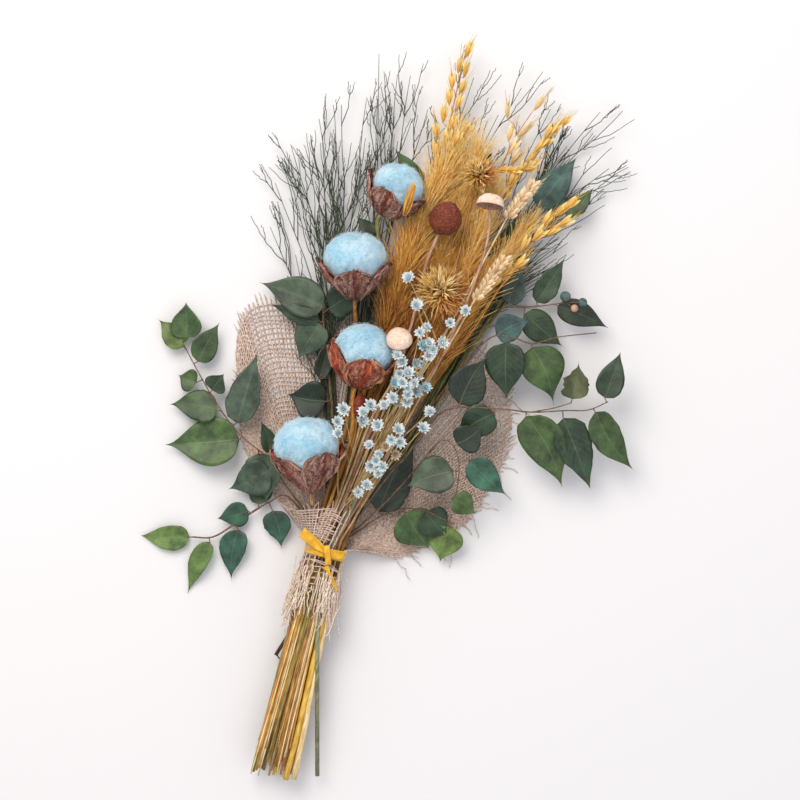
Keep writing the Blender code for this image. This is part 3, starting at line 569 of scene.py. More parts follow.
for number, (name, facts) in enumerate(cotton.items()):
    rand = random.Random(100 + number)
    centre, radius, axis = ballOf(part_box(name + "_lint"), facts["base"])
    seat = Vector(facts["base"]) - axis * 0.6
    path = stemPath(facts["place"], [*facts["way"], seat - axis * 9, seat], steps=5)
    radii = woodyRadii(path, bundle["cottonStem"] + 0.1, bundle["cottonStem"] - 0.2, rand)
    own = [oliveStraw, brownStraw, goldStraw, len(straws)][number]
    stem = fibreMesh(name, [(path, radii, own)], [*straws, bark], 2)
    addPiece(name + "_stem", [stem], "dry_stem", name + "_stem")
    addPiece(name + "_burr", burrMeshes(name, centre, radius, axis, facts, rand), "cotton_burr",
             name + "_burr")
    addPiece(name + "_lint", lintMeshes(name, centre, radius, axis, facts["squash"], rand), "cotton_lint",
             name + "_lint")
print("cotton made")

# each spray of stars: its stem's place in the tie, its heads, and more heads that fill the gaps between them
stars = {
    "star_spray_1": {"place": (6, -1.1), "heads": [(5, 118, 50), (2, 105, 51), (-14, 110, 51), (-16, 100, 53),
                                                   (-13, 92, 60)], "extra": [(1, 112, 54)]},
    "star_spray_2": {"place": (6, -0.2), "heads": [(14, 105, 57), (12, 89, 56), (21, 84, 55), (17, 74, 53),
                                                   (24, 70, 53), (18, 59, 50), (13, 52, 47)],
                     "extra": [(20, 79, 57), (26, 76, 55)]},
    "star_spray_3": {"place": (6.1, 0.8), "heads": [(25, 126, 50), (15, 121, 53), (27, 97, 55), (24, 91, 53)],
                     "extra": [(20, 128, 55), (31, 128, 53)]},
    "star_spray_4": {"place": (5.2, 1.15), "heads": [(20, 156, 58), (15, 160, 61), (20, 147, 56),
                                                     (26, 149, 59), (18, 139, 57), (29, 138, 58)],
                     "extra": [(24, 141, 60), (33, 143, 59), (30, 133, 57)]},
    "star_spray_5": {"place": (6, 2.8), "heads": [(42, 142, 47), (36, 138, 46), (50, 125, 45), (48, 112, 44),
                                                  (30, 106, 49), (34, 97, 48), (33, 87, 46)], "extra": []},
    "star_spray_6": {"place": (7, 1.2), "heads": [(47, 194, 56), (35, 158, 54), (30, 158, 55), (34, 148, 54),
                                                  (31, 186, 57), (27, 181, 59), (45, 178, 55), (36, 175, 57),
                                                  (56, 206, 54), (19, 200, 58)],
                     "extra": [(40, 171, 57), (32, 172, 57), (38, 166, 56), (8, 219, 50)]},
}
# rings of petals are (share of the radius, lift in radians, petals); two heads have faded, and one spray's
# stem ends away from the others
star = {"radius": 5.6, "rings": [(0.97, 0.3, 10), (0.86, 0.66, 10), (0.66, 1.02, 8), (0.42, 1.4, 5)],
        "petal": 1.12, "stalk": 28.0, "stalkEnds": (0.45, 0.35),
        "rise": [(36, 3), (70, 10), (110, 20), (150, 27)],
        "faded": [(33, 87), (24, 91)], "longEnd": [(39, -170, 14), (12, -68, 28)]}


def starMesh(name, petal, rand):
    # rings of pointed papery petals, each standing steeper than the one outside it
    meshes = []
    for ring, (length, lift, count) in enumerate(star["rings"]):
        for number in range(count):
            turn = (number + 0.5 * ring) * 2 * math.pi / count + rand.uniform(-0.12, 0.12)
            long = star["radius"] * length * rand.uniform(0.85, 1.1)
            rise = lift * rand.uniform(0.7, 1.3)

            def petalShape(across, along):
                wide = star["petal"] * math.sin(math.pi * min(1.0, 0.16 + 0.84 * along) ** 1.3) * across
                out = 0.3 + long * along * math.cos(rise * (0.5 + along * 0.5))
                up = long * along * math.sin(rise * (0.6 + along * 0.4)) + 0.3 * abs(across)
                return Vector((out, wide, up)) * mm

            flat = bladeMesh(name, petal, 2, 3, petalShape)
            meshes.append(moved(flat, Matrix.Rotation(turn, 4, "Z")))
    meshes.append(roundMesh(name, starHeart, lambda d: Vector((d.x, d.y, d.z * 0.8 + 0.5)) * mm, 1))
    return meshes


for number, (name, facts) in enumerate(stars.items()):
    rand = random.Random(200 + number)
    heads = facts["heads"]
    u, z = inTie(facts["place"])
    far = heads[0]
    middle = [(u + (far[0] - u) * (v / far[1]) ** 1.1, v, z + rise) for v,
              rise in star["rise"] if v < far[1] - 20]
    own = star["longEnd"] if name == "star_spray_6" else None
    trunk = stemPath(facts["place"], [*middle, far], own, steps=5)
    thick = bundle["cottonStem"] if own else bundle["stem"] * 0.75
    strands = [(trunk, woodyRadii(trunk, thick, 0.5, rand, 0.06), 0 if own else 1)]
    meshes = []
    for spot, head in enumerate([*heads, *facts["extra"]]):
        low = min(trunk[4:], key=lambda p: abs(p[1] - max(36,
                                                          head[1] - star["stalk"] * rand.uniform(0.9, 2.2))))
        stalk = smoothPath([low, (low + Vector(head)) / 2 + Vector((0, 0, 2)), head], 4)
        if spot:
            strands.append((stalk, taper(len(stalk), *star["stalkEnds"]), 1))
        petal = starFaded if head[:2] in star["faded"] else rand.choice([starPetal] * 5 + [starDeep])
        size = rand.uniform(0.78, 1.15)
        lean = Vector((rand.uniform(-0.5, 0.5), rand.uniform(-0.2, 0.6), 1)).to_track_quat("Z", "Y")
        seat = Matrix.Translation(at(head)) @ lean.to_matrix().to_4x4() @ Matrix.Scale(size, 4)
        meshes += [moved(part, seat) for part in starMesh(name, petal, rand)]
    addPiece(name, [fibreMesh(name, strands, [greyStem, starStem], 1), *meshes], "blue_star", name)
print("star flowers made")

# each grass plume: its place in the tie, its way up, the middle of its head, how open and how pale the head
# is, and its stalks' colours
plumes = {
    "plume_1": {"place": (3, -2.2), "way": [(-2.5, 60, 13.6), (-1, 110, 13.4), (0, 160, 14)],
                "head": [(1, 195, 27), (2, 225, 36), (4, 255, 38), (8, 280, 38), (10, 302, 37)],
                "open": 1.0, "pale": -0.12, "shades": [brownStraw, goldStraw, oliveStraw]},
    "plume_2": {"place": (3, -1.0), "way": [(2, 60, 13.6), (4, 110, 13.6), (7, 160, 14)],
                "head": [(10, 200, 20), (11, 235, 24), (12, 265, 24), (15, 300, 25), (16, 335, 25)],
                "open": 1.0, "pale": 0.02, "shades": [brownStraw, goldStraw, goldStraw]},
    "plume_3": {"place": (3, 0.3), "way": [(6.5, 60, 13.6), (12, 110, 13.6), (17, 160, 15)],
                "head": [(24, 200, 21), (29, 235, 24), (31, 265, 24), (34, 300, 25), (34, 328, 25)],
                "open": 1.0, "pale": 0.05, "shades": [brownStraw, darkStraw, goldStraw]},
    "plume_4": {"place": (3.4, 1.7), "way": [(13, 60, 14.8), (23, 110, 15), (32, 150, 18)],
                "head": [(39, 190, 26), (45, 225, 28), (48, 255, 28), (51, 275, 28), (54, 300, 28)],
                "open": 0.8, "pale": 0.0, "shades": [goldStraw, brownStraw, creamStraw], "stalk": 1.0,
                "thickStraw": [(11, -20, 27), (13.5, -88, 25), (15.5, -140, 23), (16, -178, 20)],
                "strawShade": yellowStraw},
    "plume_5": {"place": (4.6, 3.1), "way": [(17, 55, 18.5), (29, 100, 18.5), (42, 145, 22)],
                "head": [(52, 190, 27), (59, 215, 29), (67, 235, 30), (75, 255, 29), (84, 280, 27)],
                "open": 0.5, "pale": 0.14, "shades": [goldStraw, oliveStraw, brownStraw], "stalk": 1.0,
                "thickStraw": [(13.5, -20, 23), (15.8, -81, 23), (19.5, -130, 22), (22, -176, 20)],
                "strawShade": creamStraw},
}
plume = {"hairs": 1900, "length": (16, 50), "hair": 0.3, "stalks": 15, "stalk": 0.8, "reach": 3.6,
         "spread": 2.6, "thickStraw": 2.3, "looseStalks": 56, "wisps": 60,
         "tuft": [(-7.5, 264, 60), (-7, 276, 66), (-6.5, 286, 68)]}


def looseStalks(rand):
    # the thinnest stalks spread over the others below the tie
    strands = []
    for number in range(plume["looseStalks"]):
        top = rand.uniform(-9, 8)
        foot = Vector((1 + top * 1.35 + rand.uniform(-2.5, 2.5), -rand.uniform(138, 182),
                       rand.uniform(21, 26)))
        start = Vector((top, -14, rand.uniform(25.5, 28)))
        middle = start.lerp(foot, 0.5) + Vector((rand.uniform(-0.8, 0.8), 0, 0.8))
        shade = rand.choice([goldStraw, goldStraw, brownStraw, brownStraw, creamStraw, yellowStraw,
                             oliveStraw])
        strands.append((smoothPath([start, middle, foot], 5), taper(11, 0.6, rand.uniform(0.5, 0.85)), shade))
    return strands


def tuft(rand):
    # a tuft of the first head lies over the first boll
    middle = smoothPath(plume["tuft"], 2)
    wisps = []
    for _ in range(plume["wisps"]):
        drift = shaken(rand, 1.4)
        points = [point + drift * spread for point, spread in zip(middle, (0.4, 1.0, 1.3, 1.1, 0.7))]
        wisps.append((points, taper(5, 0.45, 0.15), rand.choice([1, 2, 2])))
    return wisps


def plumeHairs(head, pale, openness, rand):
    # hairs leave the head's middle and lie forward, opening like a brush; they pale towards the tip
    strands = []
    for number in range(plume["hairs"]):
        share = rand.uniform(0.0, 0.96) ** 0.9
        centre, direction = alongPath(head, share)
        side, up = sideways(direction)
        wide = openness * plume["spread"] * (1.5 + 6.5 * math.sin(math.pi * share) ** 0.8)
        angle = rand.uniform(0, 2 * math.pi)
        out = side * math.cos(angle) + up * math.sin(angle) * 0.65
        root = centre + out * wide * 0.35 * rand.random() - direction * 6
        long = rand.uniform(*plume["length"]) * (1.0 - 0.25 * share)
        splay = rand.uniform(-0.1, 0.42) * openness
        sway = Vector((rand.uniform(-1, 1), 0, rand.uniform(-0.6, 0.6))) * long * rand.choice([0.1, 0.2, 0.5])
        points = []
        for step in range(6):
            t = step / 5
            points.append(root + direction * long * t + out * long * splay * t ** 1.3 + sway * t * t
                          + shaken(rand, 0.35) * t)
        tone = (root.y - 138) / 160 + rand.uniform(-0.42, 0.42) + pale
        shade = sum(tone >= step for step in (0.12, 0.42, 0.82))
        strands.append((keepAbove(points, 0.6), taper(6, plume["hair"], 0.12), shade))
    return strands


for number, (name, facts) in enumerate(plumes.items()):
    rand = random.Random(300 + number)
    head = smoothPath([facts["way"][-1], *facts["head"]], 4)
    path = stemPath(facts["place"], [*facts["way"], *facts["head"][:3]], steps=4)
    stalks = stalkBundle(path, plume["stalks"], plume["reach"], facts.get("stalk", plume["stalk"]),
                         facts["shades"], rand)
    meshes = [fibreMesh(name, stalks, straws, 1),
              fibreMesh(name, plumeHairs(head, facts["pale"], facts["open"], rand), plumeShades)]
    if "thickStraw" in facts:  # a thick hollow straw runs beside it below the tie
        straw = smoothPath(facts["thickStraw"], 3)
        meshes.append(fibreMesh(name, [(straw, taper(len(straw), plume["thickStraw"], plume["thickStraw"]),
                                        facts["strawShade"])], straws, 3))
    if name == "plume_3":
        meshes.append(fibreMesh(name, looseStalks(rand), straws, 1))
    if name == "plume_1":
        meshes.append(fibreMesh(name, tuft(rand), plumeShades))
    addPiece(name, meshes, "gold_straw", name)
print("plumes made")

# each oat: its place in the tie, its way up, the middle of its head and where its husks hang
oats = {
    "oat_1": {"place": (2, -1.5), "way": [(-3, 110, 10.4), (0, 200, 12), (3, 290, 17)], "husk": oatGold,
              "head": [(7, 325, 24), (7, 345, 25), (6, 370, 24), (5, 390, 22), (6, 404, 20)],
              "husks": [(6, 403), (3, 390), (8, 388), (8, 375), (2, 377), (3, 365), (9, 362), (2, 350),
                        (8, 345), (17, 345), (1, 338), (8, 333), (15, 335), (4, 322), (12, 320), (7, 308),
                        (14, 306)]},
    "oat_2": {"place": (2, -0.5), "way": [(6, 110, 10.4), (16, 200, 11.5), (26, 270, 12), (36, 300, 12)],
              "husk": oatGold, "head": [(46, 315, 22), (52, 317, 24), (58, 318, 24), (63, 320, 24)],
              "husks": [(50, 317), (58, 320), (66, 323), (73, 326)]},
    "oat_3": {"place": (2, 0.5), "way": [(12, 110, 10.4), (26, 200, 11.5), (44, 280, 14)], "husk": oatPale,
              "head": [(55, 326, 15), (57, 338, 19), (60, 350, 20), (66, 368, 20)],
              "husks": [(58, 340), (62, 333), (52, 366), (70, 378), (64, 356), (56, 350)]},
    "oat_4": {"place": (2, 1.5), "way": [(20, 110, 10.4), (38, 200, 13), (56, 275, 17)], "husk": oatGold,
              "head": [(64, 300, 23), (71, 320, 26), (79, 342, 26), (86, 358, 25), (92, 371, 23)],
              "husks": [(92, 369), (88, 362), (84, 357), (82, 350), (78, 345), (75, 337), (76, 330),
                        (70, 326), (66, 315), (65, 303)]},
    "oat_5": {"place": (2, 2.5), "way": [(30, 100, 11), (52, 160, 17), (67, 198, 24)], "husk": oatGold,
              "head": [(76, 228, 36), (83, 243, 38), (91, 266, 40), (103, 288, 39), (117, 312, 36)],
              "husks": [(73, 235), (80, 245), (86, 255), (88, 268), (95, 278), (104, 284), (112, 294),
                        (113, 308), (106, 300), (99, 290)]},
}
ears = {
    "wheat_1": {"place": (4.4, 0.95), "way": [(11, 60, 20.5), (24, 110, 25), (44, 180, 35), (57, 235, 38)],
                "head": [(68, 282, 39), (72, 292, 41), (77, 303, 41), (81, 313, 40)]},
    "wheat_2": {"place": (5, 2.1), "way": [(13, 50, 25), (24, 100, 31), (42, 150, 39), (54, 190, 42)],
                "head": [(60, 214, 43), (65, 226, 44), (70, 240, 44), (75, 252, 42)]},
}
husk = {"length": 16.0, "width": 3.5, "awn": 11.0, "awns": 4}
grain = {"length": 8.5, "width": 3.4, "perEar": 18, "awn": 9}


def huskMesh(name, material, long, wide, hollow):
    # one boat-shaped glume, pointed at both ends
    def shape(across, along):
        half = wide / 2 * math.sin(math.pi * min(1.0, along * 0.97 + 0.03)) ** 0.75
        arch = hollow * wide * (1 - across * across) * math.sin(math.pi * along)
        return Vector((half * across, long * along, arch)) * mm
    return bladeMesh(name, material, 3, 5, shape)


def spikelet(name, material, long, wide, rand):
    # two glumes that gape and a darker floret between them
    parts = []
    for side in (-1, 1):
        gape = Matrix.Rotation(side * rand.uniform(0.10, 0.22), 4, "Z")
        parts.append(moved(huskMesh(name, material, long, wide, 0.28 * side), gape))
    parts.append(moved(huskMesh(name, material, long * 0.8, wide * 0.6, 0.5), Matrix.Rotation(0.03, 4, "Z")))
    return parts


def pointing(place, direction, roll=0.0):
    # a blade that is drawn along +Y turned to point that way from a place
    turn = Vector(direction).to_track_quat("Y", "Z").to_matrix().to_4x4()
    return Matrix.Translation(at(place)) @ turn @ Matrix.Rotation(roll, 4, "Y")


for number, (name, facts) in enumerate(oats.items()):
    rand = random.Random(400 + number)
    head = smoothPath(facts["head"], 3)
    path = stemPath(facts["place"], [*facts["way"], *facts["head"]], steps=4)
    shade = creamStraw if name == "oat_4" else goldStraw
    strands = [(path, woodyRadii(path, 1.0, 0.35, rand, 0.05), shade)]
    strands += stalkBundle(path, 4, 2.6, 0.6, [goldStraw, brownStraw, yellowStraw], rand, 0.8)
    meshes = []
    for u, v in facts["husks"]:
        root, direction = min((alongPath(head, s / 20) for s in range(20)),
                              key=lambda spot: (spot[0].x - u) ** 2 + (spot[0].y - v + 9) ** 2)
        foot = Vector((u, v, root.z + rand.uniform(-2, 5))) - direction * husk["length"] * 0.5
        aim = direction + Vector((0.05 * (u - root.x) + rand.uniform(-0.2, 0.2), 0, rand.uniform(-0.2, 0.25)))
        strands.append((smoothPath([root - direction * 4, (root + foot) / 2 + Vector((0, 0, 1.5)), foot], 3),
                        taper(7, 0.3, 0.22), goldStraw))
        seat = pointing(foot, aim, rand.uniform(-0.8, 0.8))
        long = husk["length"] * rand.uniform(0.8, 1.1)
        meshes += [moved(part, seat) for part in spikelet(name, facts["husk"], long, husk["width"], rand)]
        aim = aim.normalized()
        tipAt = foot + aim * husk["length"] * 0.9
        for _ in range(husk["awns"]):
            awnTip = tipAt + aim * husk["awn"] * rand.uniform(0.4, 1) + Vector((rand.uniform(-3, 3), 0, 1))
            strands.append(([tipAt - aim * rand.uniform(2, 9), awnTip], [0.22, 0.1], yellowStraw))
    addPiece(name, [fibreMesh(name, strands, straws, 1), *meshes], "gold_straw", name)

for number, (name, facts) in enumerate(ears.items()):
    rand = random.Random(450 + number)
    head = smoothPath(facts["head"], 3)
    path = stemPath(facts["place"], [*facts["way"], *facts["head"]], steps=4)
    strands = [(path, woodyRadii(path, 1.1, 0.5, rand, 0.05), creamStraw)]
    strands += stalkBundle(path, 3, 2.4, 0.6, [creamStraw, goldStraw], rand, 0.8)
    meshes = []
    for spot in range(grain["perEar"]):
        foot, direction = alongPath(head, spot / grain["perEar"])
        side, up = sideways(direction)
        aim = direction + side * (0.5 if spot % 2 else -0.5) + up * rand.uniform(-0.1, 0.5)
        meshes += [moved(part, pointing(foot, aim, rand.uniform(-1, 1)))
                   for part in spikelet(name, creamHusk, grain["length"], grain["width"], rand)]
        tipAt = foot + aim.normalized() * grain["length"] * 0.9
        strands.append(([tipAt, tipAt + (aim + direction).normalized() * grain["awn"]], [0.2, 0.1],
                        creamStraw))
    addPiece(name, [fibreMesh(name, strands, straws, 1), *meshes], "cream_ear", name)
print("oats and ears made")

spiky = {
    "spiky_flower_1": {"place": (4, -0.8), "way": [(3.5, 60, 16.8), (7, 120, 17), (15, 165, 24),
                                                   (25, 196, 33)],
                       "centre": (35, 216, 48), "radius": 19.0, "axis": (0.1, 0.4, 0.9), "bracts": 420},
    "spiky_flower_2": {"place": (4, 0.1), "way": [(7.5, 60, 16.8), (13.5, 120, 17), (24, 165, 24),
                                                  (37, 200, 32), (40, 240, 35.5), (39, 275, 38)],
                       "centre": (39, 309, 45), "radius": 13.0, "axis": (0.0, 0.5, 0.86), "bracts": 260},
}
bract = {"length": 11.0, "width": 1.9, "turn": 2.39996, "opened": 1.75}

for number, (name, facts) in enumerate(spiky.items()):
    rand = random.Random(500 + number)
    axis = Vector(facts["axis"]).normalized()
    radius = facts["radius"]
    centre = Vector(facts["centre"])
    foot = centre - axis * radius * 0.3
    path = stemPath(facts["place"], [*facts["way"], foot - axis * 10, foot], steps=4)
    turn = axis.to_track_quat("Z", "Y")
    stalks = [(path, taper(len(path), 1.3, 1.0), brownStraw),
              *stalkBundle(path, 4, 2.4, 0.6, [goldStraw, brownStraw], rand)]
    meshes = [fibreMesh(name, stalks, straws, 1),
              roundMesh(name, bractRust,
                        lambda d: at(centre + turn @ Vector((d.x, d.y, d.z * 0.5)) * radius * 0.5), 3)]
    for spot in range(facts["bracts"]):
        share = (spot + 0.5) / facts["bracts"]
        polar = bract["opened"] * math.sqrt(share)
        around = spot * bract["turn"]
        local = Vector((math.sin(polar) * math.cos(around), math.sin(polar) * math.sin(around),
                        math.cos(polar)))
        base = centre + turn @ Vector((local.x * 0.42, local.y * 0.42, local.z * 0.28)) * radius
        aim = turn @ (local + shaken(rand, 0.26))
        long = bract["length"] * radius / 15 * (0.55 + 0.5 * share) * rand.uniform(0.8, 1.2)
        bend = rand.uniform(-0.5, 0.8)

        def bractShape(across, along):
            half = bract["width"] / 2 * (1 - 0.92 * along ** 1.5)
            return Vector((half * across, long * along, -bend * long * along ** 2 + 0.35 * abs(across))) * mm

        if share < 0.14 or rand.random() < 0.12:
            finish = bractCream
        else:
            finish = bractRust if local.x < -0.25 + rand.uniform(-0.4, 0.4) else bractGold
        blade = bladeMesh(name, finish, 2, 4, bractShape)
        meshes.append(moved(blade, pointing(base, aim, rand.uniform(-1.5, 1.5))))
    addPiece(name, meshes, "gold_straw", name)

caps = {
    "fungus_cap_1": {"place": (6, 1.9), "way": [(20, 60, 28), (36, 120, 38), (47, 165, 44), (52, 195, 47),
                                                (57, 230, 52), (58, 262, 56)],
                     "seat": (53, 288, 58), "radius": 10.5, "height": 9.0, "axis": (-0.1, 0.96, -0.16)},
    "fungus_cap_2": {"place": (5, -0.7), "way": [(3, 60, 27), (8.5, 110, 38), (17, 145, 50)],
                     "seat": (13, 172, 58), "radius": 10.0, "height": 8.0, "axis": (-0.15, 0.6, 0.79)},
}


def capMesh(name, facts):
    # a profile turned round the stick: domed and smooth above, a rolled rim, folded gills below
    turned = bmesh.new()
    radius, height = facts["radius"], facts["height"]
    outer = [(radius * math.sin(i * math.pi / 24), height * math.cos(i * math.pi
                                                                     / 24) ** 0.9) for i in range(12)]
    rim = [(radius, 0.02 * height), (0.985 * radius, -0.07 * height), (0.93 * radius, -0.09 * height)]
    under = [(0.86 * radius, 0.0), (0.7 * radius, 0.16 * height), (0.45 * radius, 0.22 * height),
             (0.2 * radius, 0.18 * height), (0.0, 0.12 * height)]
    corners = [turned.verts.new((x, 0, z)) for x, z in outer + rim + under]
    profile = [turned.edges.new(pair) for pair in zip(corners, corners[1:])]
    bmesh.ops.spin(turned, geom=corners + profile, cent=(0, 0, 0), axis=(0, 0, 1), angle=2 * math.pi,
                   steps=72, use_merge=True)
    bmesh.ops.remove_doubles(turned, verts=turned.verts, dist=1e-4)
    bmesh.ops.recalc_face_normals(turned, faces=turned.faces)
    for vert in turned.verts:
        flat = math.hypot(vert.co.x, vert.co.y)
        around = math.atan2(vert.co.y, vert.co.x)
        if vert.co.z < 0.2 * height and 0.3 * radius < flat < 0.9 * radius:
            vert.co.z += 0.35 * math.cos(around * 24)
        else:
            vert.co *= 1 + 0.022 * noise.noise(vert.co * 0.5) + 0.02 * math.cos(3 * around + radius)
    for face in turned.faces:
        face.smooth = True
        face.material_index = 1 if face.normal.z < -0.2 else 0
    turn = Vector(facts["axis"]).to_track_quat("Z", "Y").to_matrix().to_4x4()
    lift = Matrix.Translation((0, 0, (0.3 - 0.12 * height) * mm))
    seat = Matrix.Translation(at(facts["seat"])) @ turn @ lift @ Matrix.Scale(mm, 4)
    return moved(meshFrom(turned, name, capSkin, capUnder), seat)


for number, (name, facts) in enumerate(caps.items()):
    rand = random.Random(550 + number)
    path = stemPath(facts["place"], [*facts["way"], facts["seat"]], steps=5)
    skin = creamStem if number else globeStemSkin
    stick = fibreMesh(name, [(path, woodyRadii(path, 1.0, 0.9, rand, 0.08), 0)], [skin], 2)
    addPiece(name + "_stick", [stick], "cream_ear", name + "_stick")
    addPiece(name, [capMesh(name, facts)], "fungus_cap", name)

globe = {"place": (5, 0.2), "way": [(5, 60, 20.5), (11, 110, 22), (18, 150, 27), (19, 200, 36),
                                    (18, 235, 44)],
         "seat": (21, 257, 48), "scales": 4.95}
globeCentre, globeRadius, globeAxis = ballOf(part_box("seed_globe"), globe["seat"])


def globeShape(direction):
    # overlapping bracts show as low scales, drawn together at the top
    near = noise.voronoi(direction * globe["scales"])[0][0]
    top = max(0.0, direction.dot(globeAxis))
    far = globeRadius * (0.93 + 0.10 * near + 0.05 * noise.noise(direction * 2.5)) + 1.2 * top ** 12
    return at(globeCentre + direction * far)


rand = random.Random(580)
path = stemPath(globe["place"], [*globe["way"], globe["seat"]], steps=5)
globeStem = fibreMesh("stem", [(path, woodyRadii(path, 1.3, 1.2, rand, 0.08), 0)], [globeStemSkin], 2)
addPiece("seed_globe_stem", [globeStem], "seed_husk", "seed_globe_stem")
addPiece("seed_globe", [roundMesh("globe", globeSkin, globeShape, 5)], "seed_husk", "seed_globe")

pod = {"place": (5, -1.5), "way": [(-1.5, 50, 22), (-1, 90, 29)],
       "head": [(-3, 106, 34, 1.2), (-3, 111, 35, 3.6), (-4, 118, 36, 4.4), (-4.5, 123, 36, 2.6),
                (-5, 127, 36, 0.8)]}
path = stemPath(pod["place"], [*pod["way"], pod["head"][0][:3]], steps=4)
podPath = smoothPath(pod["head"], 4)
podStalks = [(path, taper(len(path), 1.0, 0.9), brownStraw),
             *stalkBundle(path, 3, 2.2, 0.6, [brownStraw, darkStraw], rand)]
podBody = fibreMesh("pod", [([p.to_3d() for p in podPath], [max(0.3, p[3]) for p in podPath], 0)], [podSkin],
                    5)
addPiece("seed_pod", [fibreMesh("pod", podStalks, straws, 1), podBody], "seed_husk", "seed_pod")
print("flowers, caps and globe made")

